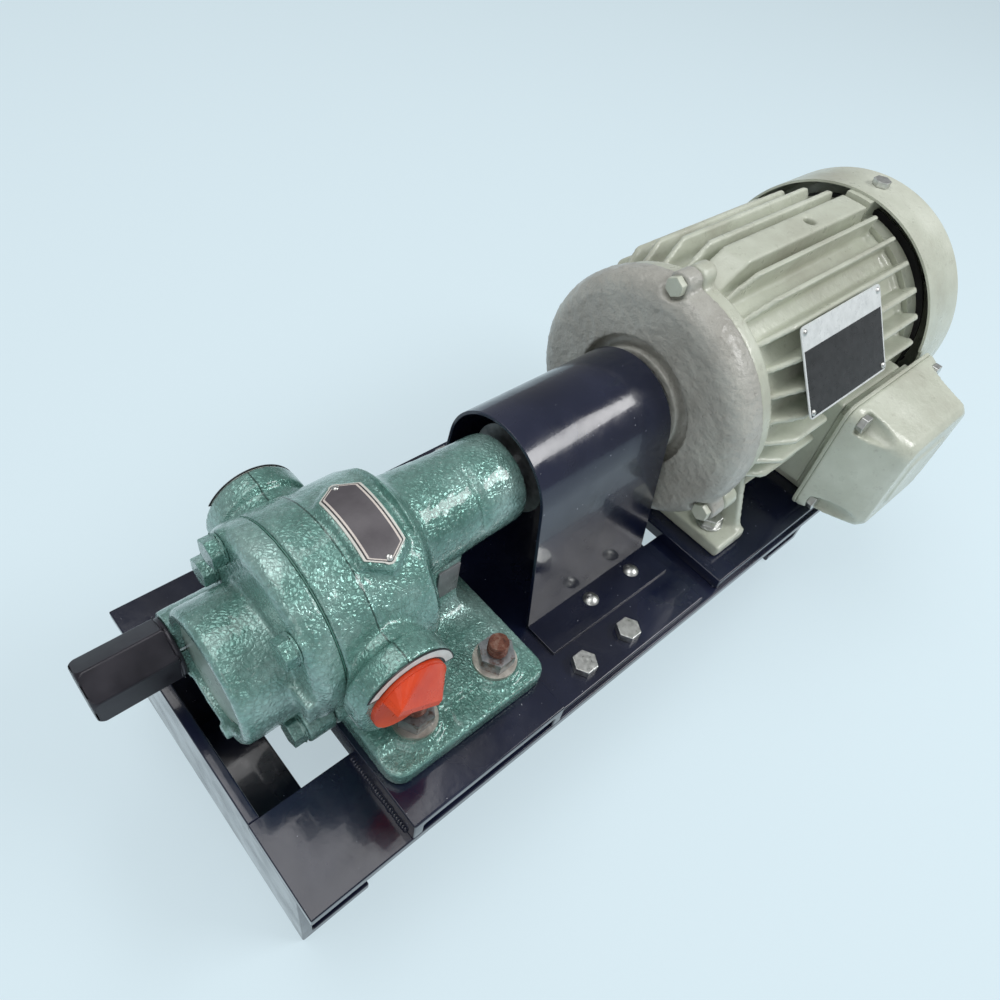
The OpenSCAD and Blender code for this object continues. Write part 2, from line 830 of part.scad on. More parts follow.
module shaft_bushes() {
    color("goldenrod") {
        bush(cover_back - bush_len, cover_back, shaft_z, drive_shaft_d);
        bush(cover_back - bush_len, cover_back, idler_z, idler_shaft_d);
        bush(seam_x + cavity_len, seam_x + cavity_len + bush_len, shaft_z, drive_shaft_d);
        bush(seam_x + cavity_len, seam_x + cavity_len + bush_len, idler_z, idler_shaft_d);
    }
}

module shaft_seal() {
    color("black")
    difference() {
        xbar(neck_end - seal_t, neck_end, 0, shaft_z, seal_r - key_fit);
        xbar(neck_end - seal_t - 1, neck_end + 1, 0, shaft_z, drive_shaft_d / 2 + run_gap);
    }
}

// Gears

function involute(a) = tan(a) * 180 / PI - a;

function half_tooth(r) = 90 / teeth - backlash / 2 / gear_cd * 180 / PI
    + involute(pressure) - involute(acos(base_r / max(r, base_r)));

flank_steps = 6;

function flank(side) = [for (j = [0 : flank_steps])
    let (r = root_r + (tip_r - root_r) * j / flank_steps)
    [r, side * half_tooth(r)]];

function tooth() = concat(flank(-1), [for (j = [flank_steps : -1 : 0]) flank(1)[j]]);

module gear_outline(phase) {
    polygon([for (i = [0 : teeth - 1], p = tooth())
        let (a = p[1] + phase + i * 360 / teeth)
        [p[0] * cos(a), p[0] * sin(a)]]);
}

module gear(z, phase, bore_d) {
    translate([gear_x, 0, z])
        rotate([90, 0, 90])
            linear_extrude(gear_w)
                difference() {
                    gear_outline(phase);
                    circle(bore_d / 2 + key_fit);
                }
}

module drive_gear() {
    color("silver") gear(shaft_z, -90, drive_shaft_d);
}

module idler_gear() {
    color("silver") gear(idler_z, 90 + 180 / teeth, idler_shaft_d);
}

module drive_shaft() {
    color("silver")
        xbar(cover_back - bush_len + 0.5, pump_shaft_end, 0, shaft_z, drive_shaft_d / 2);
}

module idler_shaft() {
    color("silver")
        xbar(cover_back - bush_len + 0.5, seam_x + cavity_len + bush_len - 0.5, 0, idler_z,
            idler_shaft_d / 2);
}

// Relief valve

module valve_seat() {
    color("silver")
    difference() {
        xbar(seat_x, valve_floor, valve_y, valve_z, valve_bore_r - key_fit);
        xbar(seat_x - 1, valve_floor + 1, valve_y, valve_z, valve_pocket_r - 0.5);
    }
}

module valve_poppet() {
    color("silver") {
        xbar(poppet_x, seat_x - eps, valve_y, valve_z, poppet_r);
        translate([seat_x - 2 * eps, valve_y, valve_z])
            rotate([0, 90, 0])
                cylinder(r1 = valve_pocket_r - 0.7, r2 = 2, h = 2.5);
    }
}

// Half a ring; wound up along the axis it gives a square wire with gaps as wide as the wire
module spring_section() {
    polygon(concat(
        [for (a = [0 : 30 : 180])
            [(spring_r + spring_wire / 2) * cos(a), (spring_r + spring_wire / 2) * sin(a)]],
        [for (a = [180 : -30 : 0])
            [(spring_r - spring_wire / 2) * cos(a), (spring_r - spring_wire / 2) * sin(a)]]));
}

module valve_spring() {
    color("steelblue")
    translate([guide_x, valve_y, valve_z])
        rotate([0, 90, 0])
            linear_extrude(poppet_x - guide_x, twist = 360 * spring_turns,
                slices = 12 * spring_turns, $fn = 12)
                spring_section();
}

module valve_screw() {
    color("silver") {
        xbar(valve_face, guide_x, valve_y, valve_z, valve_bore_r - key_fit);
        xbar(valve_face - stem_len, valve_face + eps, valve_y, valve_z, stem_r);
        xhex(valve_face - 5, valve_face + eps, valve_y, valve_z, m8_af);
    }
}

module valve_cap() {
    color("dimgray")
    difference() {
        union() {
            xbar(valve_face - 2.5, valve_face, valve_y, valve_z, cap_af / 2 + 1.5);
            intersection() {
                xhex(cap_end, valve_face - 2, valve_y, valve_z, cap_af);
                translate([cap_end, valve_y, valve_z])
                    rotate([0, 90, 0])
                        cylinder(r1 = cap_af / 2 + 0.3, r2 = cap_af / 2 + cap_len * 0.6,
                            h = cap_len);
            }
        }
        xbar(cap_end + 8, valve_face + 1, valve_y, valve_z, cap_bore_r);
    }
}

// Small pump parts

module suction_plug() {
    color("orangered") {
        ybar(port_x, pump_mid_z, -port_y + eps, -port_y + 14, port_bore_r - key_fit);
        ybar(port_x, pump_mid_z, -port_y - plug_rim_t, -port_y, plug_rim_r);
        // wedge shaped grip, sloping up from the rim to a ridge across the face
        translate([port_x, -port_y - plug_rim_t + 0.2, pump_mid_z])
            rotate([90, grip_turn, 0])
                hull() {
                    linear_extrude(0.5)
                        intersection() {
                            circle(plug_rim_r - 0.5, $fn = 32);
                            translate([-plug_rim_r, 0])
                                square([2 * plug_rim_r, plug_rim_r]);
                        }
                    translate([-3, 1.5, grip_h])
                        cube([28, 3, 1], center = true);
                }
    }
}

module pump_nameplate() {
    color("black")
    intersection() {
        plate_prism(plate_len, plate_wide, case_r + 12);
        difference() {
            case_disc(seam_x, body_end, case_r + plate_pad_h + 0.8);
            case_disc(seam_x - 1, body_end + 1, case_r + plate_pad_h + seat_fit);
        }
    }
}

module label_arc(s) {
    color("gainsboro")
    difference() {
        ybar(port_x, pump_mid_z, s > 0 ? port_y : -port_y - 0.6,
            s > 0 ? port_y + 0.6 : -port_y, port_r - 0.3);
        ybar(port_x, pump_mid_z, s > 0 ? port_y - 1 : -port_y - 2,
            s > 0 ? port_y + 2 : -port_y + 1, 19.5);
        // only the upper front part carries the strip
        translate([port_x, 0, pump_mid_z])
            rotate([0, 12, 0])
                translate([0, 0, -60 + 8])
                    cube([200, 400, 120], center = true);
    }
}

module suction_label() {
    label_arc(-1);
}

module delivery_label() {
    label_arc(1);
}

module pump_foot_bolts() {
    color("saddlebrown")
    for (x = pump_bolt_xs, s = [-1, 1]) {
        y = s * pump_bolt_y;
        z = foot_top + seat_h;
        zbar(x, y, base_h + 2, z + 18, pump_stud_d / 2);
        zbar(x, y, z, z + 2, 11.5);
        zhex(x, y, z + 2, z + 10, m10_af);
    }
}

// Coupling

// Three jaws that reach into the spider
module jaws(x0, x1, phase) {
    intersection() {
        difference() {
            xbar(x0, x1, 0, shaft_z, hub_r);
            xbar(x0 - 1, x1 + 1, 0, shaft_z, jaw_in);
        }
        for (i = [0 : 2])
            translate([x0, 0, shaft_z])
                rotate([phase + i * 120, 0, 0])
                    translate([0, 0, -jaw_w / 2])
                        cube([x1 - x0, hub_r * 2, jaw_w]);
    }
}

module pump_hub() {
    color("gray")
    difference() {
        union() {
            xbar(pump_hub_x0, spider_x0 - 1, 0, shaft_z, hub_r);
            jaws(spider_x0 - 1.5, hub_start - 1, 0);
        }
        xbar(pump_hub_x0 - 1, spider_x0, 0, shaft_z, drive_shaft_d / 2 + key_fit);
    }
}

module motor_hub() {
    color("gray")
    difference() {
        union() {
            xbar(hub_start + 1, hub_end, 0, shaft_z, hub_r);
            jaws(spider_x0 + 1, hub_start + 1.5, 60);
        }
        xbar(hub_start, hub_end + 1, 0, shaft_z, motor_shaft_d / 2 + key_fit);
    }
}

module coupling_spider() {
    color("firebrick")
    difference() {
        xbar(spider_x0 + 0.5, hub_start - 0.5, 0, shaft_z, hub_r - 1);
        xbar(spider_x0, hub_start, 0, shaft_z, 6);
        for (i = [0 : 5])
            translate([spider_x0, 0, shaft_z])
                rotate([i * 60, 0, 0])
                    translate([-1, jaw_in * 0.84, -jaw_w / 2 - jaw_gap])
                        cube([spider_t + 2, hub_r * 2, jaw_w + 2 * jaw_gap]);
    }
}

// Motor

module ring(x0, x1, r_out, r_in) {
    difference() {
        xbar(x0, x1, 0, shaft_z, r_out);
        xbar(x0 - 1, x1 + 1, 0, shaft_z, r_in);
    }
}

// A fin seen from the side, its front end running up in a long slope
module fin_outline(x0, x1) {
    polygon([[x0, housing_r - 2], [x0, housing_r + 1], [x0 + 22, fin_r - 1],
        [x0 + 25, fin_r], [x1 - 2, fin_r], [x1, fin_r - 2], [x1, housing_r - 2]]);
}

// One cooling fin along the housing
module fin(a, x0, x1) {
    translate([0, 0, shaft_z])
        rotate([a, 0, 0])
            translate([0, 0, fin_t / 2])
                    mirror([0, 0, 1])
                        linear_extrude(fin_t)
                            fin_outline(x0, x1);
}

module motor_foot(x) {
    both_sides()
        difference() {
            union() {
                slab(x - 13, x + 16, 30, motor_foot_w / 2, motor_top,
                    motor_top + motor_foot_t);
                // upright rib from foot to housing
                translate([x + 10, 0, 0])
                    rotate([90, 0, 90])
                            linear_extrude(6)
                                polygon([[40, motor_top + 2], [motor_foot_w / 2 - 4, motor_top + 2],
                                    [motor_foot_w / 2 - 4, motor_top + motor_foot_t],
                                    [62, shaft_z - 26], [40, shaft_z - 26]]);
            }
            zbar(x, foot_pitch_y / 2, motor_top - 1, motor_top + motor_foot_t + 1,
                motor_bolt_d / 2 + 2 * bolt_gap);
        }
}

module motor_housing() {
    color("darkkhaki")
    difference() {
        union() {
            ring(housing_x0, housing_x1, housing_r, housing_bore_r);
            ring(housing_x0, housing_x0 + flange_len, shield_r - 2, housing_bore_r);
            ring(housing_x1 - 6, housing_x1, housing_r + 2, housing_bore_r);
            for (a = fin_angles)
                fin(a, housing_x0 + flange_len - 1, housing_x1 - 2);
            for (a = short_fin_angles)
                fin(a, housing_x0 + flange_len - 1, box_x0 - 6);
            for (x = foot_bolt_xs)
                motor_foot(x);
            // flat pad with the eye bolt hole on top
            translate([0, pad_half, shaft_z])
                rotate([90, 0, 0])
                    linear_extrude(2 * pad_half)
                        fin_outline(housing_x0 + flange_len + 2, housing_x1 - 2);
            // neck of the terminal box
            slab(box_x0 + 8, box_x0 + 80, -box_join + 7, -50, box_neck_z0,
                box_z + box_h / 2 - 6);
            // lugs of the shield screws
            for (a = screw_angles)
                xbar(housing_x0, housing_x0 + 12, motor_bolt_r * cos(a),
                    shaft_z + motor_bolt_r * sin(a), 7);
        }
        xbar(housing_x0 - 1, housing_x1 + 1, 0, shaft_z, housing_bore_r);
        zbar(eye_x, 0, shaft_z + housing_r - 1, shaft_z + fin_r + 2, 4);
        slab(box_x0 + 16, box_x0 + 72, -box_join - 1, -box_floor, box_neck_z0 + 6,
            box_z + box_h / 2 - 14);
        ybar(box_x0 + 24, box_z, -box_floor - 1, -40, 7);
        for (a = screw_angles)
            xbar(housing_x0 - 1, housing_x0 + 10, motor_bolt_r * cos(a),
                shaft_z + motor_bolt_r * sin(a), shield_bolt_d / 2 + key_fit);
        // the feet stand on one machined plane
        slab(motor_x, cowl_x1, -200, 200, motor_top - 20, motor_top);
    }
}

module stator_core() {
    color("dimgray")
        ring(core_x0, core_x0 + core_len, housing_bore_r - key_fit, stator_bore_r);
}

module rotor_core() {
    color("gray")
        ring(core_x0, core_x0 + core_len, stator_bore_r - air_gap, rotor_seat_r + key_fit);
}

module motor_shaft() {
    color("silver") {
        xbar(shaft_end, shaft_step + 1, 0, shaft_z, motor_shaft_d / 2);
        xbar(shaft_step, housing_x0 - 1, 0, shaft_z, bearing_seat_r);
        xbar(housing_x0 - 2, housing_x1 + 2, 0, shaft_z, rotor_seat_r);
        xbar(housing_x1 + 1, fan_x1 - 1, 0, shaft_z, bearing_seat_r);
    }
}

module motor_bearings() {
    color("silver") {
        ring(motor_x + 5, motor_x + 5 + bearing_w, bearing_r - key_fit,
            bearing_seat_r + run_gap);
        ring(housing_x1 + 2.5, housing_x1 + 2.5 + bearing_w, bearing_r - key_fit,
            bearing_seat_r + run_gap);
    }
}

module drive_shield() {
    color("darkkhaki")
    difference() {
        union() {
            translate([motor_x, 0, shaft_z])
                rotate([0, 90, 0])
                    rotate_extrude()
                        polygon([[0, 0], [shield_r - 10, 0], [shield_r - 5.5, 1.4],
                            [shield_r - 2, 4.4], [shield_r - 0.4, 9], [shield_r, 12],
                            [shield_r, shield_t], [0, shield_t]]);
            xbar(housing_x0 - 1, housing_x0 + 4, 0, shaft_z, housing_bore_r - key_fit);
            for (a = screw_angles)
                xbar(motor_x + 8, housing_x0, motor_bolt_r * cos(a),
                    shaft_z + motor_bolt_r * sin(a), 7);
        }
        // sunken middle with the bearing boss standing in it
        difference() {
            xbar(motor_x - 1, motor_x + 8, 0, shaft_z, 40);
            xbar(motor_x - 2, motor_x + 9, 0, shaft_z, 33);
        }
        xbar(motor_x - 1, motor_x + 3, 0, shaft_z, 28);
        xbar(motor_x - 1, housing_x0 + 5, 0, shaft_z, bearing_seat_r + 0.5);
        xbar(motor_x + 5, housing_x0 + 5, 0, shaft_z, bearing_r);
        ring(housing_x0 - 4, housing_x0 + 5, housing_bore_r - 6, bearing_r + 5);
        for (a = screw_angles) {
            y = motor_bolt_r * cos(a);
            z = shaft_z + motor_bolt_r * sin(a);
            xbar(motor_x, housing_x0 + 1, y, z, shield_bolt_d / 2 + bolt_gap);
            xbar(motor_x - 1, motor_x + 8, y, z, 7.4);
        }
    }
}

module rear_shield() {
    color("darkkhaki")
    difference() {
        union() {
            xbar(housing_x1, housing_x1 + rear_t - 4, 0, shaft_z, rear_r);
            xbar(housing_x1, housing_x1 + rear_t, 0, shaft_z, bearing_r + 8);
            xbar(housing_x1 - 4, housing_x1 + 1, 0, shaft_z, housing_bore_r - key_fit);
            for (a = screw_angles)
                translate([housing_x1, 0, shaft_z])
                    rotate([a - 90, 0, 0]) {
                        translate([0, -rear_lug_w / 2, rear_r - 8])
                            cube([rear_t - 4, rear_lug_w, cowl_r - cowl_t - rear_r + 8]);
                        // tongue that carries the cowl, outside the fan
                        translate([0, -rear_lug_w / 2, fan_r + 2.5])
                            cube([cowl_bolt_x + 7 - housing_x1, rear_lug_w,
                                cowl_r - cowl_t - fan_r - 2.5]);
                    }
        }
        ring(housing_x1 - 1, cowl_x1, cowl_r + 9,
            cowl_r - cowl_t - seat_fit);
        xbar(housing_x1 - 5, housing_x1 + rear_t + 1, 0, shaft_z, bearing_seat_r + 0.5);
        xbar(housing_x1 - 5, housing_x1 + 2.5 + bearing_w, 0, shaft_z, bearing_r);
        ring(housing_x1 - 5, housing_x1 + 4, housing_bore_r - 6, bearing_r + 5);
        for (a = screw_angles)
            translate([cowl_bolt_x, 0, shaft_z])
                rotate([a - 90, 0, 0])
                    cylinder(r = shield_bolt_d / 2 + key_fit, h = 2 * cowl_r);
    }
}

module shield_bolts() {
    color("darkkhaki")
    for (a = screw_angles) {
        y = motor_bolt_r * cos(a);
        z = shaft_z + motor_bolt_r * sin(a);
        xbar(motor_x + 7, housing_x0 + 9, y, z, shield_bolt_d / 2);
        xhex(motor_x + 3.5, motor_x + 8, y, z, m6_af);
    }
}

module cooling_fan() {
    color("black")
    difference() {
        union() {
            xbar(fan_x0, fan_x0 + 2.5, 0, shaft_z, fan_r);
            xbar(fan_x0, fan_x1 - 2, 0, shaft_z, 16);
            for (i = [0 : blade_n - 1])
                translate([fan_x0, 0, shaft_z])
                    rotate([i * 360 / blade_n, 0, 0])
                        translate([0, -1.2, 14])
                            cube([fan_x1 - fan_x0 - 4, 2.4, fan_r - 15]);
        }
        xbar(fan_x0 - 1, fan_x1, 0, shaft_z, bearing_seat_r + key_fit);
    }
}

module fan_cowl() {
    color("darkkhaki")
    difference() {
        translate([cowl_x0, 0, shaft_z])
            rotate([0, 90, 0])
                rotate_extrude()
                    polygon([[cowl_r - cowl_t, 0], [cowl_r, 0], [cowl_r, cowl_len - 8],
                        [cowl_r - 2.4, cowl_len - 2.4], [cowl_r - 8, cowl_len], [0, cowl_len],
                        [0, cowl_len - cowl_t], [cowl_r - 8.4, cowl_len - cowl_t],
                        [cowl_r - 3.6, cowl_len - 3.6], [cowl_r - cowl_t, cowl_len - 8.6]]);
        // air holes in rings
        for (k = [1 : 5], i = [0 : 6 * k - 1])
            translate([cowl_x1 - cowl_t - 1, 0, shaft_z])
                rotate([i * 60 / k, 0, 0])
                    translate([0, 0, k * 10.5])
                        rotate([0, 90, 0])
                            cylinder(r = 3.9, h = cowl_t + 2, $fn = 6);
        for (a = screw_angles)
            translate([cowl_bolt_x, 0, shaft_z])
                rotate([a - 90, 0, 0])
                    cylinder(r = shield_bolt_d / 2 + bolt_gap, h = 2 * cowl_r);
        // cut-out beside the terminal box
        slab(cowl_x0 - 1, cowl_x0 + 3, -cowl_r - 1, -cowl_r + 8, box_z - box_h / 2,
            box_z + box_h / 2);
    }
}

module cowl_screws() {
    color("silver")
    for (a = screw_angles)
        translate([cowl_bolt_x, 0, shaft_z])
            rotate([a - 90, 0, 0]) {
                translate([0, 0, cowl_r - 10])
                    cylinder(r = shield_bolt_d / 2, h = 10);
                translate([0, 0, cowl_r])
                    cylinder(r = m6_af / sqrt(3), h = 4, $fn = 6);
            }
}

// Terminal box

module box_place(y) {
    translate([box_x0 + box_len / 2, y, box_z])
        rotate([90, 0, 0])
            children();
}

module box_base() {
    color("darkkhaki")
    difference() {
        union() {
            box_place(-box_join + 2.6)
                linear_extrude(2.6)
                    round_rect(box_len, box_h, 8);
            box_place(-box_join + 7)
                linear_extrude(5)
                    translate([-5, 0])
                        round_rect(box_len - 26, box_h - 12, 5);
        }
        box_place(-box_join + 8)
            linear_extrude(10)
                translate([-5, 0])
                    round_rect(box_len - 26 - 2 * box_wall, box_h - 12 - 2 * box_wall, 4);
        for (q = lid_bolts_at)
            ybar(q[0], q[1], -box_join - 1, -box_join + 8, lid_bolt_d / 2 + key_fit);
    }
}

module terminal_board() {
    color("burlywood") {
        slab(box_x0 + 33, box_x0 + 69, -box_floor - 10, -box_floor, box_z - 14, box_z + 14);
        for (i = [0 : 2], s = [-1, 1])
            ybar(box_x0 + 39 + i * 12, box_z + s * 8, -box_floor - 20, -box_floor - 9, 2.5);
    }
}

module lid_shape(inset, depth) {
    hull() {
        linear_extrude(1)
            round_rect(box_len - 2 * inset, box_h - 2 * inset, 8);
        translate([3, -5, depth - 5])
            linear_extrude(1)
                round_rect(box_len - 24 - 2 * inset, box_h - 12 - 2 * inset, 10);
        translate([3, -5, depth - 1])
            linear_extrude(1)
                round_rect(box_len - 31 - 2 * inset, box_h - 18 - 2 * inset, 10);
    }
}

module box_lid() {
    color("darkkhaki")
    difference() {
        box_place(-box_join)
            union() {
                lid_shape(0, lid_depth, $fn = 32);
                translate([3, -5, lid_depth - 2])
                    linear_extrude(3.4)
                        round_rect(46, 40, 8);
            }
        // hollow inside, which leaves a wall round the screw pockets
        difference() {
            box_place(-box_join + 0.5)
                lid_shape(box_wall, lid_depth - box_wall, $fn = 24);
            for (q = lid_bolts_at)
                ybar(q[0], q[1], -lid_face - 1, -box_join + 2, lid_pocket_r + 2.5);
        }
        for (q = lid_bolts_at) {
            ybar(q[0], q[1], -lid_face - 1, -box_join - 6, lid_pocket_r);
            ybar(q[0], q[1], -box_join - 10, -box_join + 1, lid_bolt_d / 2 + bolt_gap);
        }
    }
}

module lid_bolts() {
    color("silver")
    for (q = lid_bolts_at) {
        ybar(q[0], q[1], -box_join - 6, -box_join + 2.4, lid_bolt_d / 2);
        translate([q[0], -box_join - 6, q[1]])
            rotate([90, 0, 0])
                cylinder(r = m6_af / sqrt(3), h = 4.5, $fn = 6);
    }
}

module motor_nameplate() {
    color("black")
    translate([0, 0, shaft_z])
        rotate([name_angle - 90, 0, 0]) {
            translate([motor_x + 92, 0, fin_r + 0.6])
                linear_extrude(0.8)
                    round_rect(rating_len, rating_wide, 3);
        }
}

module motor_foot_bolts() {
    color("silver")
    for (x = foot_bolt_xs, s = [-1, 1]) {
        zbar(x, s * foot_pitch_y / 2, motor_top + motor_foot_t,
            motor_top + motor_foot_t + 1.6, 9);
        hex_bolt(x, s * foot_pitch_y / 2, motor_top + motor_foot_t + 1.6,
            base_h - steel_t, motor_bolt_d, m8_af);
    }
}

side_rail_near();
side_rail_far();
front_cross();
rear_cross();
pump_brace();
motor_brace();
pump_pad();
mid_plate();
motor_plate();
mid_plate_bolts();
coupling_guard();
guard_screws();
pump_body();
front_cover();
cover_gasket();
cover_bolts();
boss_disc();
shaft_bushes();
shaft_seal();
drive_shaft();
drive_gear();
idler_shaft();
idler_gear();
valve_seat();
valve_poppet();
valve_spring();
valve_screw();
valve_cap();
suction_plug();
pump_nameplate();
suction_label();
delivery_label();
pump_foot_bolts();
pump_hub();
coupling_spider();
motor_hub();
motor_housing();
stator_core();
rotor_core();
motor_shaft();
motor_bearings();
drive_shield();
rear_shield();
shield_bolts();
cooling_fan();
fan_cowl();
cowl_screws();
box_base();
terminal_board();
box_lid();
lid_bolts();
motor_nameplate();
motor_foot_bolts();
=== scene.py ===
import json
import math
import numpy as np
import bpy
import bmesh
from mathutils import Matrix, Vector, noise


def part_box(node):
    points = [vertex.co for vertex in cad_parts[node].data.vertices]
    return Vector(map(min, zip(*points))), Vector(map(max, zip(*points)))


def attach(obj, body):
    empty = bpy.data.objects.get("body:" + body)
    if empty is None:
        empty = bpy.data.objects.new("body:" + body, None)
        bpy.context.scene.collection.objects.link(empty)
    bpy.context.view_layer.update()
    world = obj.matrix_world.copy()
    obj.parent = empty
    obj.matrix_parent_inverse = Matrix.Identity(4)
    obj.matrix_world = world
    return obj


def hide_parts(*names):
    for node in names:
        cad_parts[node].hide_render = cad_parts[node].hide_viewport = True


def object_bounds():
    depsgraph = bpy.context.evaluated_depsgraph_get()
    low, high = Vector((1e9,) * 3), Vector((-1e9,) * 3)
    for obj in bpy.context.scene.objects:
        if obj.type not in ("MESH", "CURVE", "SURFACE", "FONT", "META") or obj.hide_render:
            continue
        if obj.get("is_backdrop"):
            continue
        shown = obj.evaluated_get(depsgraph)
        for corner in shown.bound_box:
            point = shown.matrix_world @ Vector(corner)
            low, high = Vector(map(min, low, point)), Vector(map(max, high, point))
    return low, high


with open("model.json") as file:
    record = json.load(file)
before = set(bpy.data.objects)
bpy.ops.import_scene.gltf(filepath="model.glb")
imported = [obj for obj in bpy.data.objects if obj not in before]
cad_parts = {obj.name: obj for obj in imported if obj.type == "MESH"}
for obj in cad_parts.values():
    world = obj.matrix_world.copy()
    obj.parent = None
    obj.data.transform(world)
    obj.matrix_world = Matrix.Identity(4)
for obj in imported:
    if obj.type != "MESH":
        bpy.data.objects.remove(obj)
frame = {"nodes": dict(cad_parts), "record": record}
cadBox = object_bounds()
print("frame loaded")

mm = 0.001

camera = {
    "place": (-0.26324, -0.18119, 0.45387),
    "target": (-0.07868, -0.02951, 0.19031),
    "roll": 0.212,
    "lens": 28.44,
    "sensor": 36,
    "nearest": 0.02,
}


def placed(name, data):
    obj = bpy.data.objects.new(name, data)
    bpy.context.collection.objects.link(obj)
    return obj


def addCamera(cfg):
    data = bpy.data.cameras.new("photoCamera")
    data.lens = cfg["lens"]
    data.sensor_width = cfg["sensor"]
    data.clip_start = cfg["nearest"]
    obj = placed("photoCamera", data)
    place, target = Vector(cfg["place"]), Vector(cfg["target"])
    forward = (target - place).normalized()
    right = forward.cross(Vector((0, 0, 1))).normalized()
    up = right.cross(forward)
    c, s = math.cos(cfg["roll"]), math.sin(cfg["roll"])
    r, u = c * right + s * up, c * up - s * right
    obj.matrix_world = Matrix((
        (r.x, u.x, -forward.x, place.x), (r.y, u.y, -forward.y, place.y),
        (r.z, u.z, -forward.z, place.z), (0, 0, 0, 1)))
    bpy.context.scene.camera = obj


lamps = {
    "keyLamp": {"place": (1.05, -0.95, 1.45), "aim": (0.02, 0, 0.14), "size": (0.95, 0.55), "power": 17},
    "topLamp": {"place": (-0.35, 0.30, 1.75), "aim": (-0.05, 0, 0.14), "size": (1.5, 1.0), "power": 13},
    "fillLamp": {"place": (-1.55, -0.95, 1.05), "aim": (0, 0, 0.12), "size": (0.9, 0.9), "power": 4.5},
}


def addLamp(name, cfg):
    data = bpy.data.lights.new(name, "AREA")
    data.shape = "RECTANGLE"
    data.size, data.size_y = cfg["size"]
    data.energy = cfg["power"]
    obj = placed(name, data)
    obj.location = cfg["place"]
    towards = Vector(cfg["aim"]) - Vector(cfg["place"])
    obj.rotation_euler = towards.to_track_quat("-Z", "Y").to_euler()


backdrop = {
    "colour": (0.708, 0.847, 0.913),
    "size": 8.0,
    "below": 0.0005,           # the floor lies this far under the lowest point
    "roughness": 0.9,
    "ownLight": 0.62,          # share of the floor that the lamps don't reach
    "air": (0.92, 0.95, 0.97),
    "airLight": 0.34,
}


def seenRays(nt):
    path = nt.nodes.new("ShaderNodeLightPath")
    total = path.outputs["Is Camera Ray"]
    for name in ("Is Glossy Ray", "Is Transmission Ray"):
        m = nt.nodes.new("ShaderNodeMath")
        m.operation = "MAXIMUM"
        nt.links.new(total, m.inputs[0])
        nt.links.new(path.outputs[name], m.inputs[1])
        total = m.outputs[0]
    return total


def mixShaders(nt, share, first, second, target):
    mix = nt.nodes.new("ShaderNodeMixShader")
    nt.links.new(share, mix.inputs[0])
    nt.links.new(first.outputs[0], mix.inputs[1])
    nt.links.new(second.outputs[0], mix.inputs[2])
    nt.links.new(mix.outputs[0], nt.nodes[target].inputs[0])


def addWorld(cfg):
    world = bpy.data.worlds.new("paleRoom")
    world.use_nodes = True
    nt = world.node_tree
    light = nt.nodes["Background"]
    light.inputs["Color"].default_value = (*cfg["air"], 1)
    light.inputs["Strength"].default_value = cfg["airLight"]
    seen = nt.nodes.new("ShaderNodeBackground")
    seen.inputs["Color"].default_value = (*cfg["colour"], 1)
    path = nt.nodes.new("ShaderNodeLightPath")
    mixShaders(nt, path.outputs["Is Camera Ray"], light, seen, "World Output")
    bpy.context.scene.world = world


def addFloor(cfg):
    mesh = bpy.data.meshes.new("floor")
    half, low = cfg["size"] / 2, cadBox[0][2] - cfg["below"]
    corners = [(-half, -half, low), (half, -half, low), (half, half, low), (-half, half, low)]
    mesh.from_pydata(corners, [], [(0, 1, 2, 3)])
    floor = placed("floor", mesh)
    mat = bpy.data.materials.new("floorPaint")
    mat.use_nodes = True
    nt = mat.node_tree
    bsdf = nt.nodes["Principled BSDF"]
    bsdf.inputs["Base Color"].default_value = (*cfg["colour"], 1)
    bsdf.inputs["Roughness"].default_value = cfg["roughness"]
    glow = nt.nodes.new("ShaderNodeEmission")
    glow.inputs["Color"].default_value = (*cfg["colour"], 1)
    share = nt.nodes.new("ShaderNodeMath")
    share.operation = "MULTIPLY"
    share.inputs[1].default_value = cfg["ownLight"]
    nt.links.new(seenRays(nt), share.inputs[0])
    mixShaders(nt, share.outputs[0], bsdf, glow, "Material Output")
    mesh.materials.append(mat)
    floor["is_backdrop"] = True


addCamera(camera)
addWorld(backdrop)
addFloor(backdrop)
for name, cfg in lamps.items():
    addLamp(name, cfg)
bpy.context.scene.view_settings.view_transform = "Standard"
print("stage set")


# small helpers for the node trees of the finishes
def newMaterial(name):
    mat = bpy.data.materials.new(name)
    mat.use_nodes = True
    nt = mat.node_tree
    coord = nt.nodes.new("ShaderNodeTexCoord")
    return mat, nt, nt.nodes["Principled BSDF"], coord.outputs["Object"]


def noiseOf(nt, coord, scale, detail=3, rough=0.55):
    n = nt.nodes.new("ShaderNodeTexNoise")
    n.inputs["Scale"].default_value = scale
    n.inputs["Detail"].default_value = detail
    n.inputs["Roughness"].default_value = rough
    nt.links.new(coord, n.inputs["Vector"])
    return n.outputs["Fac"]


def grey(v):
    return (v, v, v)


def ramp(nt, fac, stops):
    r = nt.nodes.new("ShaderNodeValToRGB")
    el = r.color_ramp.elements
    while len(el) < len(stops):
        el.new(0.5)
    for e, (pos, col) in zip(el, stops):
        e.position = pos
        e.color = (*col, 1)
    nt.links.new(fac, r.inputs["Fac"])
    return r.outputs["Color"]


def mottle(nt, coord, scale, dark, light, detail=4, span=(0.3, 0.7)):
    return ramp(nt, noiseOf(nt, coord, scale, detail), [(span[0], dark), (span[1], light)])


def patches(nt, coord, cfg, most):
    fac = noiseOf(nt, coord, cfg["scale"], cfg["detail"], cfg["rough"])
    start, end = cfg["span"]
    return ramp(nt, fac, [(start, grey(0)), (end, grey(most))])


def roughen(nt, bsdf, coord, scale, low, high, detail=3, span=(0.3, 0.7)):
    spread = mottle(nt, coord, scale, grey(low), grey(high), detail, span)
    nt.links.new(spread, bsdf.inputs["Roughness"])


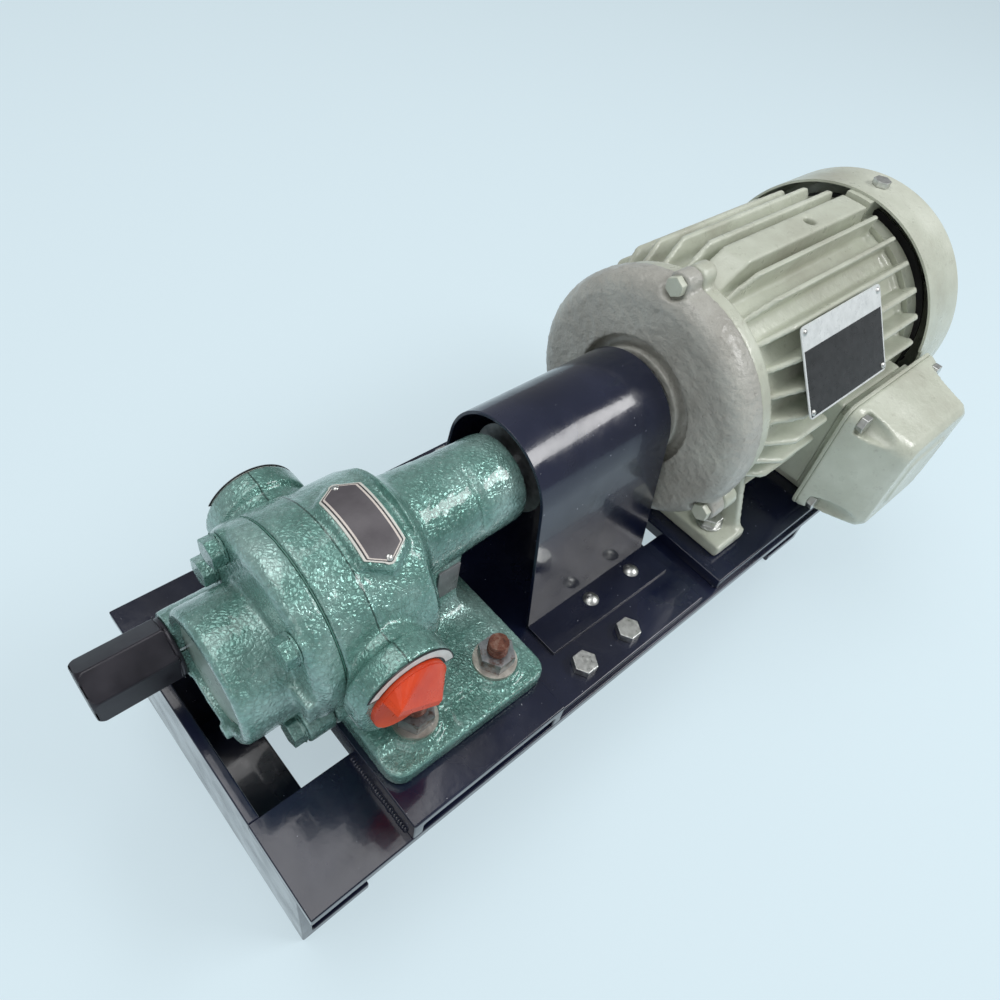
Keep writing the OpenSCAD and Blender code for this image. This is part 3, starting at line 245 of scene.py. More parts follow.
def mixColour(nt, fac, a, b, how="MIX"):
    m = nt.nodes.new("ShaderNodeMix")
    m.data_type = "RGBA"
    m.blend_type = how
    for sock, val in ((m.inputs[0], fac), (m.inputs[6], a), (m.inputs[7], b)):
        if isinstance(val, bpy.types.NodeSocket):
            nt.links.new(val, sock)
        elif isinstance(val, (int, float)):
            sock.default_value = val
        else:
            sock.default_value = (*val, 1)
    return m.outputs[2]


def mathNode(nt, how, a, b=None, c=None):
    m = nt.nodes.new("ShaderNodeMath")
    m.operation = how
    for sock, val in zip(m.inputs, (a, b, c)):
        if isinstance(val, bpy.types.NodeSocket):
            nt.links.new(val, sock)
        elif val is not None:
            sock.default_value = val
    return m.outputs[0]


def weighed(nt, a, shareA, b, shareB):
    return mathNode(nt, "ADD", mathNode(nt, "MULTIPLY", a, shareA), mathNode(nt, "MULTIPLY", b, shareB))


def axes(nt, coord):
    s = nt.nodes.new("ShaderNodeSeparateXYZ")
    nt.links.new(coord, s.inputs[0])
    return s.outputs


def bump(nt, bsdf, height, strength, distance, previous=None):
    b = nt.nodes.new("ShaderNodeBump")
    b.inputs["Strength"].default_value = strength
    b.inputs["Distance"].default_value = distance
    nt.links.new(height, b.inputs["Height"])
    if previous:
        nt.links.new(previous, b.inputs["Normal"])
    nt.links.new(b.outputs["Normal"], bsdf.inputs["Normal"])
    return b.outputs["Normal"]


def cellsOf(nt, coord, scale, feature):
    v = nt.nodes.new("ShaderNodeTexVoronoi")
    v.feature = feature
    v.inputs["Scale"].default_value = scale
    nt.links.new(coord, v.inputs["Vector"])
    return v.outputs["Distance"]


def warped(nt, coord, scale, amount):
    wob = nt.nodes.new("ShaderNodeTexNoise")
    wob.inputs["Scale"].default_value = scale
    nt.links.new(coord, wob.inputs["Vector"])
    move = nt.nodes.new("ShaderNodeVectorMath")
    move.operation = "MULTIPLY_ADD"
    move.inputs[1].default_value = (amount, amount, amount)
    nt.links.new(wob.outputs["Color"], move.inputs[0])
    nt.links.new(coord, move.inputs[2])
    return move.outputs[0]


def setSockets(bsdf, values):
    for name, value in values.items():
        bsdf.inputs[name].default_value = value


hammertone = {
    "dark": (0.070, 0.200, 0.165), "mid": (0.180, 0.370, 0.325), "light": (0.40, 0.60, 0.56),
    "broad": 24, "cell": 480, "warpScale": 230, "warp": 0.0032,
    "pool": 0.66, "poolSpan": (0.10, 0.60), "poolShare": 0.8,
    # pale flecks painted into the colour as sparkle: painted glints
    "paintedGlint": {"scale": 720, "detail": 2, "rough": 0.6, "span": (0.62, 0.74)},
    "paintedGlintShare": 0.45, "paintedGlintColour": (0.62, 0.76, 0.72),
    "ridge": (0.62, 0.0009), "grain": (0.25, 0.0004), "grainScale": 900,
    "roughScale": 300, "roughness": (0.16, 0.36),
    "shader": {"Metallic": 0.38, "Coat Weight": 0.7, "Coat Roughness": 0.10},
    "seamX": -0.1535, "seamHalf": 0.00042, "seamFloor": 0.150,      # parting line round the case
    "seamShare": 0.8, "seamColour": (0.010, 0.040, 0.032),
}


def hammeredGreen(name, cfg, seam=False):
    mat, nt, bsdf, coord = newMaterial(name)
    moved = warped(nt, coord, cfg["warpScale"], cfg["warp"])
    cells = cellsOf(nt, moved, cfg["cell"], "SMOOTH_F1")
    ridges = cellsOf(nt, moved, cfg["cell"], "DISTANCE_TO_EDGE")
    broad = noiseOf(nt, coord, cfg["broad"], 4)
    base = ramp(nt, broad, [(0.30, cfg["dark"]), (0.50, cfg["mid"]), (0.74, cfg["light"])])
    near, far = cfg["poolSpan"]
    pool = ramp(nt, cells, [(near, grey(1.0)), (far, grey(cfg["pool"]))])
    col = mixColour(nt, cfg["poolShare"], base, pool, "MULTIPLY")
    # pale flecks mixed into the base colour: painted glints standing in for the paint's sparkle
    paintedGlint = patches(nt, moved, cfg["paintedGlint"], cfg["paintedGlintShare"])
    col = mixColour(nt, paintedGlint, col, cfg["paintedGlintColour"])
    if seam:
        x, _, z = axes(nt, coord)
        off = mathNode(nt, "ABSOLUTE", mathNode(nt, "SUBTRACT", x, cfg["seamX"]))
        line = mathNode(nt, "LESS_THAN", off, cfg["seamHalf"])
        above = mathNode(nt, "GREATER_THAN", z, cfg["seamFloor"])
        line = mathNode(nt, "MULTIPLY", line, above)
        line = mathNode(nt, "MULTIPLY", line, cfg["seamShare"])
        col = mixColour(nt, line, col, cfg["seamColour"])
    nt.links.new(col, bsdf.inputs["Base Color"])
    roughen(nt, bsdf, coord, cfg["roughScale"], *cfg["roughness"], detail=2)
    setSockets(bsdf, cfg["shader"])
    first = bump(nt, bsdf, ridges, *cfg["ridge"])
    bump(nt, bsdf, noiseOf(nt, coord, cfg["grainScale"], 3), *cfg["grain"], first)
    return mat


navyPaint = {
    "stops": [(0.28, (0.003, 0.004, 0.012)), (0.5, (0.007, 0.010, 0.028)),
              (0.66, (0.016, 0.020, 0.046)), (0.8, (0.040, 0.030, 0.036))],
    "broad": 11,
    "chips": {"scale": 520, "detail": 2, "rough": 0.7, "span": (0.742, 0.765)},
    "chipColour": (0.50, 0.52, 0.58),
    "roughScale": 48, "roughness": (0.10, 0.32), "roughSpan": (0.3, 0.75),
    "shader": {"Specular IOR Level": 0.42, "Coat Weight": 0.35, "Coat Roughness": 0.05},
    "waveScale": 55, "wave": (0.22, 0.0012), "grainScale": 340, "grain": (0.10, 0.0004),
}


def glossNavy(name, cfg):
    mat, nt, bsdf, coord = newMaterial(name)
    base = ramp(nt, noiseOf(nt, coord, cfg["broad"], 5), cfg["stops"])
    chips = patches(nt, coord, cfg["chips"], 1)
    nt.links.new(mixColour(nt, chips, base, cfg["chipColour"]), bsdf.inputs["Base Color"])
    roughen(nt, bsdf, coord, cfg["roughScale"], *cfg["roughness"], detail=4, span=cfg["roughSpan"])
    setSockets(bsdf, cfg["shader"])
    first = bump(nt, bsdf, noiseOf(nt, coord, cfg["waveScale"], 3), *cfg["wave"])
    bump(nt, bsdf, noiseOf(nt, coord, cfg["grainScale"], 2), *cfg["grain"], first)
    return mat


castSkin = {
    "dirt": {"scale": 240, "detail": 4, "rough": 0.65, "span": (0.60, 0.76)},
    "film": {"scale": 9, "detail": 6, "rough": 0.7, "span": (0.48, 0.75)},
    "filmShare": 0.5,
    "broad": 20, "roughScale": 90, "duller": (0.1, 0.14),
    "coarse": 190, "coarseDepth": 0.0014, "fine": 800, "fineShare": 0.5, "fineDepth": 0.0004,
    "shader": {"Coat Weight": 0.3, "Coat Roughness": 0.15},
}
motorPaint = {
    "dark": (0.43, 0.44, 0.36), "mid": (0.53, 0.56, 0.465), "light": (0.64, 0.67, 0.575),
    "grime": (0.235, 0.215, 0.175), "grain": 0.35, "gloss": 0.34, "dirty": 0.35,
}
# the motor paint made darker and greyer for the end shield: painted shade of its face, on top of its dirtier,
# rougher cast skin
shadedShieldPaint = {
    "dark": (0.33, 0.32, 0.285), "mid": (0.43, 0.425, 0.385), "light": (0.55, 0.56, 0.50),
    "grime": (0.17, 0.155, 0.135), "grain": 1.0, "gloss": 0.38, "dirty": 0.55,
}
discPaint = {
    "dark": (0.20, 0.27, 0.24), "mid": (0.27, 0.36, 0.32), "light": (0.36, 0.45, 0.41),
    "grime": (0.10, 0.12, 0.11), "grain": 0.35, "gloss": 0.34, "dirty": 0.35,
}


def castPaint(name, cfg, skin):
    mat, nt, bsdf, coord = newMaterial(name)
    broad = noiseOf(nt, coord, skin["broad"], 5)
    base = ramp(nt, broad, [(0.3, cfg["dark"]), (0.5, cfg["mid"]), (0.72, cfg["light"])])
    dirt = patches(nt, coord, skin["dirt"], cfg["dirty"])
    col = mixColour(nt, dirt, base, cfg["grime"])
    film = patches(nt, coord, skin["film"], cfg["dirty"] * skin["filmShare"])
    col = mixColour(nt, film, col, cfg["grime"])
    nt.links.new(col, bsdf.inputs["Base Color"])
    less, more = skin["duller"]
    roughen(nt, bsdf, coord, skin["roughScale"], cfg["gloss"] - less, cfg["gloss"] + more)
    setSockets(bsdf, skin["shader"])
    coarse = noiseOf(nt, coord, skin["coarse"], 4, 0.6)
    first = bump(nt, bsdf, coarse, cfg["grain"], skin["coarseDepth"])
    fine = noiseOf(nt, coord, skin["fine"], 2)
    bump(nt, bsdf, fine, cfg["grain"] * skin["fineShare"], skin["fineDepth"], first)
    return mat


def metal(name, dark, light, roughness, scale=220, metallic=1.0):
    mat, nt, bsdf, coord = newMaterial(name)
    nt.links.new(mottle(nt, coord, scale, dark, light), bsdf.inputs["Base Color"])
    bsdf.inputs["Metallic"].default_value = metallic
    roughen(nt, bsdf, coord, scale * 2, roughness - 0.08, roughness + 0.12)
    bump(nt, bsdf, noiseOf(nt, coord, scale * 4, 3), 0.12, 0.0003)
    return mat


def plastic(name, dark, light, roughness, grain=0.1):
    mat, nt, bsdf, coord = newMaterial(name)
    nt.links.new(mottle(nt, coord, 45, dark, light), bsdf.inputs["Base Color"])
    roughen(nt, bsdf, coord, 130, roughness - 0.08, roughness + 0.1)
    bump(nt, bsdf, noiseOf(nt, coord, 500, 3), grain, 0.0004)
    return mat


footStuds = {
    "overWasher": 0.016,       # the stud stands this far over its washer
    "nutHeight": 0.0081,
    "washer": ((0.42, 0.39, 0.34), (0.66, 0.63, 0.57)),
    "nut": ((0.20, 0.21, 0.22), (0.40, 0.41, 0.42)),
    "end": [(0.32, (0.060, 0.018, 0.012)), (0.5, (0.15, 0.05, 0.03)), (0.72, (0.26, 0.17, 0.13))],
    "rust": {"scale": 150, "detail": 5, "rough": 0.7, "span": (0.52, 0.64)},
    "rustShare": 0.85, "rustColour": (0.13, 0.055, 0.035),
    "metallic": 0.85, "rustLoss": -0.55,
    "roughness": (0.30, 0.52),
}
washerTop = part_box("pump_foot_bolts")[1].z - footStuds["overWasher"]


def studFinish(name, cfg):
    mat, nt, bsdf, coord = newMaterial(name)
    z = axes(nt, coord)["Z"]
    washer = mottle(nt, coord, 160, *cfg["washer"])
    nut = mottle(nt, coord, 210, *cfg["nut"])
    end = ramp(nt, noiseOf(nt, coord, 300, 4, 0.7), cfg["end"])
    rust = patches(nt, coord, cfg["rust"], cfg["rustShare"])
    nut = mixColour(nt, rust, nut, cfg["rustColour"])
    col = mixColour(nt, mathNode(nt, "GREATER_THAN", z, washerTop), washer, nut)
    above = mathNode(nt, "GREATER_THAN", z, washerTop + cfg["nutHeight"])
    col = mixColour(nt, above, col, end)
    nt.links.new(col, bsdf.inputs["Base Color"])
    shine = mathNode(nt, "MULTIPLY_ADD", above, cfg["rustLoss"], cfg["metallic"])
    nt.links.new(shine, bsdf.inputs["Metallic"])
    roughen(nt, bsdf, coord, 260, *cfg["roughness"])
    bump(nt, bsdf, noiseOf(nt, coord, 900, 3), 0.25, 0.0004)
    return mat


finishes = {
    "navy_paint": glossNavy("navyGloss", navyPaint),
    "green_hammertone": hammeredGreen("pumpGreen", hammertone),
    "inner_green": castPaint("discGrey", discPaint, castSkin),
    "motor_paint": castPaint("motorCream", motorPaint, castSkin),
    "zinc": metal("zincPlate", (0.50, 0.51, 0.49), (0.74, 0.75, 0.73), 0.34),
    "rusty_steel": studFinish("studSteel", footStuds),
    "bright_steel": metal("groundSteel", (0.55, 0.56, 0.57), (0.72, 0.73, 0.74), 0.22),
    "spring_steel": metal("springWire", (0.30, 0.32, 0.36), (0.48, 0.50, 0.55), 0.3),
    "bronze": metal("bushBronze", (0.52, 0.33, 0.12), (0.72, 0.50, 0.22), 0.3),
    "black_steel": metal("capSteel", (0.014, 0.013, 0.019), (0.034, 0.031, 0.042), 0.36,
                         scale=40, metallic=0.25),
    "grey_iron": metal("hubIron", (0.16, 0.165, 0.17), (0.30, 0.31, 0.32), 0.4, metallic=0.8),
    "red_rubber": plastic("spiderRubber", (0.30, 0.03, 0.02), (0.45, 0.06, 0.04), 0.6),
    "black_rubber": plastic("sealRubber", (0.010, 0.010, 0.010), (0.03, 0.03, 0.03), 0.6),
    "gasket_fibre": plastic("gasketPaint", (0.040, 0.130, 0.100), (0.10, 0.24, 0.20), 0.4, 0.3),
    "orange_plastic": plastic("plugOrange", (0.60, 0.040, 0.008), (0.82, 0.085, 0.018), 0.30, 0.25),
    "plate_black": plastic("plateMauve", (0.060, 0.054, 0.062), (0.115, 0.105, 0.115), 0.35),
    "label_silver": metal("labelSilver", (0.66, 0.66, 0.64), (0.80, 0.80, 0.78), 0.35, metallic=0.3),
    "core_steel": metal("coreSteel", (0.16, 0.16, 0.17), (0.26, 0.26, 0.28), 0.5),
    "fan_plastic": plastic("fanPlastic", (0.02, 0.02, 0.02), (0.045, 0.045, 0.045), 0.5),
    "board_resin": plastic("boardResin", (0.25, 0.16, 0.08), (0.36, 0.25, 0.13), 0.5),
}
castFinish = {
    "pump_body": hammeredGreen("caseGreen", hammertone, seam=True),
    # end shield in the darker copy of the motor paint: painted shade
    "drive_shield": castPaint("shieldCastShaded", shadedShieldPaint, castSkin),
}

record = frame["record"]
slotOf = {row["node"]: row["material_slot"] for row in record["subparts"]}
bodyOf = {node: body for body, nodes in record["behaviour"]["bodies"].items() for node in nodes}
for node, obj in frame["nodes"].items():
    obj.data.materials.clear()
    obj.data.materials.append(finishes[slotOf[node]])
print("finishes made")


# castings and softened pieces are made from merged copies of the solids
def mergedCopy(node, name):
    mesh = frame["nodes"][node].data.copy()
    bm = bmesh.new()
    bm.from_mesh(mesh)
    bmesh.ops.remove_doubles(bm, verts=bm.verts, dist=1e-6)
    bmesh.ops.recalc_face_normals(bm, faces=bm.faces)
    bm.to_mesh(mesh)
    bm.free()
    return placed(name, mesh)


def bake(piece):
    graph = bpy.context.evaluated_depsgraph_get()
    baked = bpy.data.meshes.new_from_object(piece.evaluated_get(graph))
    piece.modifiers.clear()
    piece.data = baked
    return baked


def shadeSmooth(mesh):
    for p in mesh.polygons:
        p.use_smooth = True


def standIn(piece, node):
    mesh = piece.data
    mesh.materials.clear()
    mesh.materials.append(castFinish.get(node, finishes[slotOf[node]]))
    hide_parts(node)
    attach(piece, bodyOf[node])
    print(node, "dressed,", sum(len(p.vertices) - 2 for p in mesh.polygons), "triangles")


castings = {
    "pump_body": {"voxel": 1.15, "rounds": 8, "skin": 0.16},
    "front_cover": {"voxel": 0.9, "rounds": 7, "skin": 0.14},
    "drive_shield": {"voxel": 1.2, "rounds": 5, "skin": 0.30},
    "motor_housing": {"voxel": 1.45, "rounds": 3, "skin": 0.12},
    "box_lid": {"voxel": 1.0, "rounds": 5, "skin": 0.08},
}
sandWaves = {"broad": 260, "fine": 620, "fineShare": 0.6}      # the uneven skin of a sand casting


def skinHeight(p, cfg):
    point = Vector(p)
    return noise.noise(point * cfg["broad"]) + cfg["fineShare"] * noise.noise(point * cfg["fine"])


def castFrom(node, cfg):
    piece = mergedCopy(node, node + "_cast")
    remesh = piece.modifiers.new("casting", "REMESH")
    remesh.mode = "VOXEL"
    remesh.voxel_size = cfg["voxel"] * mm
    smooth = piece.modifiers.new("fillets", "SMOOTH")
    smooth.factor = 0.5
    smooth.iterations = cfg["rounds"]
    mesh = bake(piece)
    points, normals = np.zeros(len(mesh.vertices) * 3), np.zeros(len(mesh.vertices) * 3)
    mesh.vertices.foreach_get("co", points)
    mesh.vertex_normals.foreach_get("vector", normals)
    points, normals = points.reshape(-1, 3), normals.reshape(-1, 3)
    waves = np.array([skinHeight(p, sandWaves) for p in points])
    points += normals * waves[:, None] * cfg["skin"] * mm
    mesh.vertices.foreach_set("co", points.ravel())
    mesh.update()
    shadeSmooth(mesh)
    standIn(piece, node)


for node, cfg in castings.items():
    castFrom(node, cfg)
print("castings made")

softEdges = {      # width of each softened edge in millimetres
    "side_rail_near": 0.7, "side_rail_far": 0.7, "front_cross": 0.8, "rear_cross": 0.8,
    "pump_pad": 0.9, "mid_plate": 0.9, "motor_plate": 0.9, "coupling_guard": 0.35,
    "pump_brace": 0.6, "motor_brace": 0.6, "mid_plate_bolts": 0.45, "cover_bolts": 0.45,
    "motor_foot_bolts": 0.45, "cowl_screws": 0.4, "shield_bolts": 0.5, "lid_bolts": 0.35,
    "valve_cap": 0.9, "box_base": 0.6, "guard_screws": 0.15, "motor_nameplate": 0.15,
}
softening = {"flatWithin": 1.5, "sharpOver": 40, "segments": 2}      # angles in degrees


def softened(node, width, cfg):
    piece = mergedCopy(node, node + "_soft")
    flat = math.radians(cfg["flatWithin"])
    bm = bmesh.new()
    bm.from_mesh(piece.data)
    bmesh.ops.dissolve_limit(bm, angle_limit=flat, verts=bm.verts, edges=bm.edges)
    bm.to_mesh(piece.data)
    bm.free()
    bevel = piece.modifiers.new("edges", "BEVEL")
    bevel.width = width * mm
    bevel.segments = cfg["segments"]
    bevel.limit_method = "ANGLE"
    bevel.angle_limit = math.radians(cfg["sharpOver"])
    bevel.use_clamp_overlap = False
    bevel.miter_outer = "MITER_ARC"
    shadeSmooth(piece.data)
    weighted = piece.modifiers.new("shading", "WEIGHTED_NORMAL")
    weighted.keep_sharp = False
    bake(piece)
    standIn(piece, node)


for node, width in softEdges.items():
    softened(node, width, softening)
print("edges softened")

labels = {      # ring strips round the ports, in metres and degrees
    "portX": -0.1529, "portZ": 0.147, "outer": 0.0241, "inner": 0.0202, "chord": 0.0087, "turn": 12,
    "dark": (0.60, 0.60, 0.57), "light": (0.76, 0.76, 0.74), "border": (0.020, 0.022, 0.024),
    "roughness": (0.28, 0.44),
}
plateGrain = {"roughScale": 300, "grainScale": 500, "grain": (0.08, 0.0003)}


def plateSurface(nt, bsdf, coord, roughness, cfg):
    roughen(nt, bsdf, coord, cfg["roughScale"], *roughness)
    bump(nt, bsdf, noiseOf(nt, coord, cfg["grainScale"], 2), *cfg["grain"])


def labelFinish(name, cfg):
    mat, nt, bsdf, coord = newMaterial(name)
    x, _, z = axes(nt, coord)
    dx, dz = mathNode(nt, "SUBTRACT", x, cfg["portX"]), mathNode(nt, "SUBTRACT", z, cfg["portZ"])
    away = mathNode(nt, "SQRT", weighed(nt, dx, dx, dz, dz))
    turn = math.radians(cfg["turn"])
    up = weighed(nt, dx, math.sin(turn), dz, math.cos(turn))
    outside = mathNode(nt, "GREATER_THAN", away, cfg["outer"])
    edge = mathNode(nt, "MAXIMUM", outside, mathNode(nt, "LESS_THAN", away, cfg["inner"]))
    edge = mathNode(nt, "MAXIMUM", edge, mathNode(nt, "LESS_THAN", up, cfg["chord"]))
    face = mottle(nt, coord, 260, cfg["dark"], cfg["light"])
    nt.links.new(mixColour(nt, edge, face, cfg["border"]), bsdf.inputs["Base Color"])
    plateSurface(nt, bsdf, coord, cfg["roughness"], plateGrain)
    return mat


labelWhite = labelFinish("labelWhite", labels)
for node in ("suction_label", "delivery_label"):
    frame["nodes"][node].data.materials[0] = labelWhite

rating = {      # the motor's plate, in metres and degrees
    "x": 0.146, "z": 0.163, "turn": 56, "halfLong": 0.042, "halfWide": 0.026,
    "border": 0.0012, "header": 0.0125,
    "pale": ((0.60, 0.63, 0.63), (0.74, 0.77, 0.77)), "field": ((0.012, 0.013, 0.014), (0.030, 0.031, 0.033)),
    "roughness": (0.24, 0.40),
}


def ratingFinish(name, cfg):
    mat, nt, bsdf, coord = newMaterial(name)
    x, y, z = axes(nt, coord)
    turn = math.radians(cfg["turn"])
    rise = mathNode(nt, "SUBTRACT", z, cfg["z"])
    across = weighed(nt, y, math.cos(turn), rise, math.sin(turn))
    along = mathNode(nt, "ABSOLUTE", mathNode(nt, "SUBTRACT", x, cfg["x"]))
    ends = mathNode(nt, "GREATER_THAN", along, cfg["halfLong"] - cfg["border"])
    width = mathNode(nt, "ABSOLUTE", across)
    sides = mathNode(nt, "GREATER_THAN", width, cfg["halfWide"] - cfg["border"])
    rim = mathNode(nt, "MAXIMUM", ends, sides)
    head = mathNode(nt, "GREATER_THAN", across, cfg["header"])
    pale = mottle(nt, coord, 240, *cfg["pale"])
    field = mottle(nt, coord, 200, *cfg["field"])
    col = mixColour(nt, mathNode(nt, "MAXIMUM", rim, head), field, pale)
    nt.links.new(col, bsdf.inputs["Base Color"])
    plateSurface(nt, bsdf, coord, cfg["roughness"], plateGrain)
    return mat


bpy.data.objects["motor_nameplate_soft"].data.materials[0] = ratingFinish("ratingPlate", rating)

pumpPlate = {      # bent over the pump casing, in millimetres and degrees
    "x": -138.0, "z": 147.0, "mid": 99.0, "halfLong": 23.5, "halfWide": 10.5, "slope": 6.7,
    "tabAt": 20.3, "tab": 3.2, "tabbedBelow": 1.2, "slant": 1.2, "tipRoom": 0.1, "least": 0.02,
    "steps": 96, "roughness": 0.36,
    "layers": [   # name, inset, radius of its face, thickness, colour dark and light
        ("rim", 0.0, 51.30, 0.75, (0.50, 0.50, 0.46), (0.70, 0.70, 0.65)),
        ("line", 0.9, 51.36, 0.10, (0.020, 0.020, 0.022), (0.045, 0.043, 0.047)),
        ("cream", 1.5, 51.41, 0.12, (0.56, 0.50, 0.46), (0.70, 0.64, 0.59)),
        ("field", 2.3, 51.46, 0.14, (0.062, 0.055, 0.062), (0.125, 0.115, 0.125)),
    ],
}


def plateHalfWidth(cfg, u, inset):
    room = cfg["halfLong"] - abs(u)
    w = min(cfg["halfWide"], room * cfg["halfWide"] / cfg["slope"]) - inset * cfg["slant"]
    if inset < cfg["tabbedBelow"]:
        r = cfg["tab"] - inset
        off = abs(u) - cfg["tabAt"]
        if abs(off) < r:
            w = max(w, math.sqrt(r * r - off * off))
    return min(w, cfg["halfWide"] - inset)


def bentPlate(name, cfg, inset, top, thick):
    steps, rows = cfg["steps"], []
    shorter = inset
    if inset >= cfg["tabbedBelow"]:
        shorter = inset * cfg["slant"] * cfg["slope"] / cfg["halfWide"] + cfg["tipRoom"]
    reach = cfg["halfLong"] - shorter
    for i in range(steps + 1):
        u = -reach + 2 * reach * i / steps
        w = max(plateHalfWidth(cfg, u, inset), cfg["least"])
        a = math.radians(cfg["mid"]) - u / top
        for r in (top - thick, top):
            y, z = r * math.cos(a) * mm, (cfg["z"] + r * math.sin(a)) * mm
            rows += [((cfg["x"] + side) * mm, y, z) for side in (-w, w)]
    faces = []
    for i in range(steps):
        a, b = 4 * i, 4 * i + 4      # low near, low far, top near, top far
        faces += [(a, b, b + 1, a + 1), (a + 2, a + 3, b + 3, b + 2),
                  (a, a + 2, b + 2, b), (a + 1, b + 1, b + 3, a + 3)]
    last = 4 * steps
    faces += [(0, 1, 3, 2), (last, last + 2, last + 3, last + 1)]
    mesh = bpy.data.meshes.new(name)
    mesh.from_pydata(rows, [], faces)
    bm = bmesh.new()
    bm.from_mesh(mesh)
    bmesh.ops.recalc_face_normals(bm, faces=bm.faces)
    bm.to_mesh(mesh)
    bm.free()
    return placed(name, mesh)


for name, inset, top, thick, dark, light in pumpPlate["layers"]:
    plate = bentPlate("pumpPlate_" + name, pumpPlate, inset, top, thick)
    finish = plastic("pumpPlate" + name.capitalize(), dark, light, pumpPlate["roughness"])
    plate.data.materials.append(finish)
    if name == "rim":
        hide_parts("pump_nameplate")
    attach(plate, "frame")

postPlate = {      # small bare plate on the neck's post, in millimetres
    "x": (-100.5, -86.5), "y": (-20.0, -18.4), "z": (117.0, 139.0), "round": 0.5,
    "dark": (0.10, 0.10, 0.105), "light": (0.22, 0.22, 0.23), "roughness": 0.34,
}


def blankPlate(name, cfg):
    mesh = bpy.data.meshes.new(name)
    bm = bmesh.new()
    bmesh.ops.create_cube(bm, size=1)
    for v in bm.verts:
        v.co = Vector([cfg[k][1 if c > 0 else 0] * mm for k, c in zip("xyz", v.co)])
    bmesh.ops.bevel(bm, geom=bm.edges, offset=cfg["round"] * mm, segments=3, affect="EDGES", profile=0.5)
    bm.to_mesh(mesh)
    bm.free()
    mesh.materials.append(plastic("postPlateGrey", cfg["dark"], cfg["light"], cfg["roughness"]))
    return placed(name, mesh)


plate = blankPlate("postPlate", postPlate)
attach(plate, "frame")
print("plates made")


# rivets, threads and weld beads come from Geometry Nodes
def addNode(tree, kind, **sockets):
    node = tree.nodes.new(kind)
    for key, val in sockets.items():
        sock = node.inputs[key.replace("_", " ")]
        if isinstance(val, bpy.types.NodeSocket):
            tree.links.new(val, sock)
        else:
            sock.default_value = val
    return node


def newTree(name, sizes):
    tree = bpy.data.node_groups.new(name, "GeometryNodeTree")
    tree.interface.new_socket("Geometry", in_out="INPUT", socket_type="NodeSocketGeometry")
    for size, val in sizes.items():
        sock = tree.interface.new_socket(size, in_out="INPUT", socket_type="NodeSocketFloat")
        sock.default_value = val
    tree.interface.new_socket("Finish", in_out="INPUT", socket_type="NodeSocketMaterial")
    tree.interface.new_socket("Geometry", in_out="OUTPUT", socket_type="NodeSocketGeometry")
    return tree, tree.nodes.new("NodeGroupInput").outputs, tree.nodes.new("NodeGroupOutput")


def closeTree(tree, ins, out, instances):
    real = addNode(tree, "GeometryNodeRealizeInstances", Geometry=instances)
    painted = addNode(tree, "GeometryNodeSetMaterial", Geometry=real.outputs[0], Material=ins["Finish"])
    tree.links.new(painted.outputs[0], out.inputs[0])
    return tree


def grow(name, tree, points, edges, slotName, sizes, facing=None):
    mesh = bpy.data.meshes.new(name)
    mesh.from_pydata([tuple(c * mm for c in p) for p in points], edges, [])
    if facing:
        layer = mesh.attributes.new("facing", "FLOAT_VECTOR", "POINT")
        layer.data.foreach_set("vector", [c for v in facing for c in v])
    obj = placed(name, mesh)
    mod = obj.modifiers.new(tree.name, "NODES")
    mod.node_group = tree
    for item in tree.interface.items_tree:
        if item.in_out == "INPUT" and item.name in sizes:
            mod[item.identifier] = sizes[item.name]
        if item.in_out == "INPUT" and item.name == "Finish":
            mod[item.identifier] = finishes[slotName]
    mesh = bake(obj)
    shadeSmooth(mesh)
    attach(obj, "frame")
    print(name, "made,", len(mesh.polygons), "faces")


rivets = {
    "flat": 0.55,      # height of a head against its radius
    "pump": {"Radius": 0.0017, "lie": 51.3, "turns": (-22.9, 22.9)},
    "motor": {"Radius": 0.0019, "lie": 81.4, "along": (-38.5, 38.5), "across": (-22.5, 22.5)},
}


def rivetTree():
    tree, ins, out = newTree("rivetHeads", {"Radius": 0.001, "Height": 0.5})
    ball = addNode(tree, "GeometryNodeMeshUVSphere", Segments=20, Rings=10, Radius=ins["Radius"])
    flat = addNode(tree, "ShaderNodeCombineXYZ", X=1.0, Y=1.0, Z=ins["Height"])
    facing = addNode(tree, "GeometryNodeInputNamedAttribute", Name="facing")
    facing.data_type = "FLOAT_VECTOR"
    turn = tree.nodes.new("FunctionNodeAlignRotationToVector")
    turn.axis = "Z"
    tree.links.new(facing.outputs[0], turn.inputs["Vector"])
    put = addNode(tree, "GeometryNodeInstanceOnPoints", Points=ins["Geometry"],
                  Instance=ball.outputs[0], Rotation=turn.outputs[0], Scale=flat.outputs[0])
    return closeTree(tree, ins, out, put.outputs[0])


def pumpRivets(cfg, plate):
    spots, facing = [], []
    for turn in cfg["turns"]:
        a = math.radians(plate["mid"] + turn)
        y, z = math.cos(a), math.sin(a)
        spots.append((plate["x"], cfg["lie"] * y, plate["z"] + cfg["lie"] * z))
        facing.append((0, y, z))
    return spots, facing


def motorRivets(cfg, plate):
    turn, lie = math.radians(plate["turn"]), cfg["lie"]
    outY, outZ = -math.sin(turn), math.cos(turn)
    x, z = plate["x"] / mm, plate["z"] / mm
    spots = [(x + u, outY * lie + outZ * v, z + outZ * lie - outY * v)
             for u in cfg["along"] for v in cfg["across"]]
    return spots, [(0, outY, outZ)] * len(spots)


rivetHeads = rivetTree()
for name, places, key, plate in (("pumpPlateRivets", pumpRivets, "pump", pumpPlate),
                                 ("motorPlateRivets", motorRivets, "motor", rating)):
    spots, facing = places(rivets[key], plate)
    sizes = {"Radius": rivets[key]["Radius"], "Height": rivets["flat"]}
    grow(name, rivetHeads, spots, [], "zinc", sizes, facing)

threads = {
    "Radius": 0.0049, "Turns": 5.0, "Length": 0.0073, "Wire": 0.00045,
    "x": (-143, -92), "y": (-59, 59), "overWasher": 8.4,
}


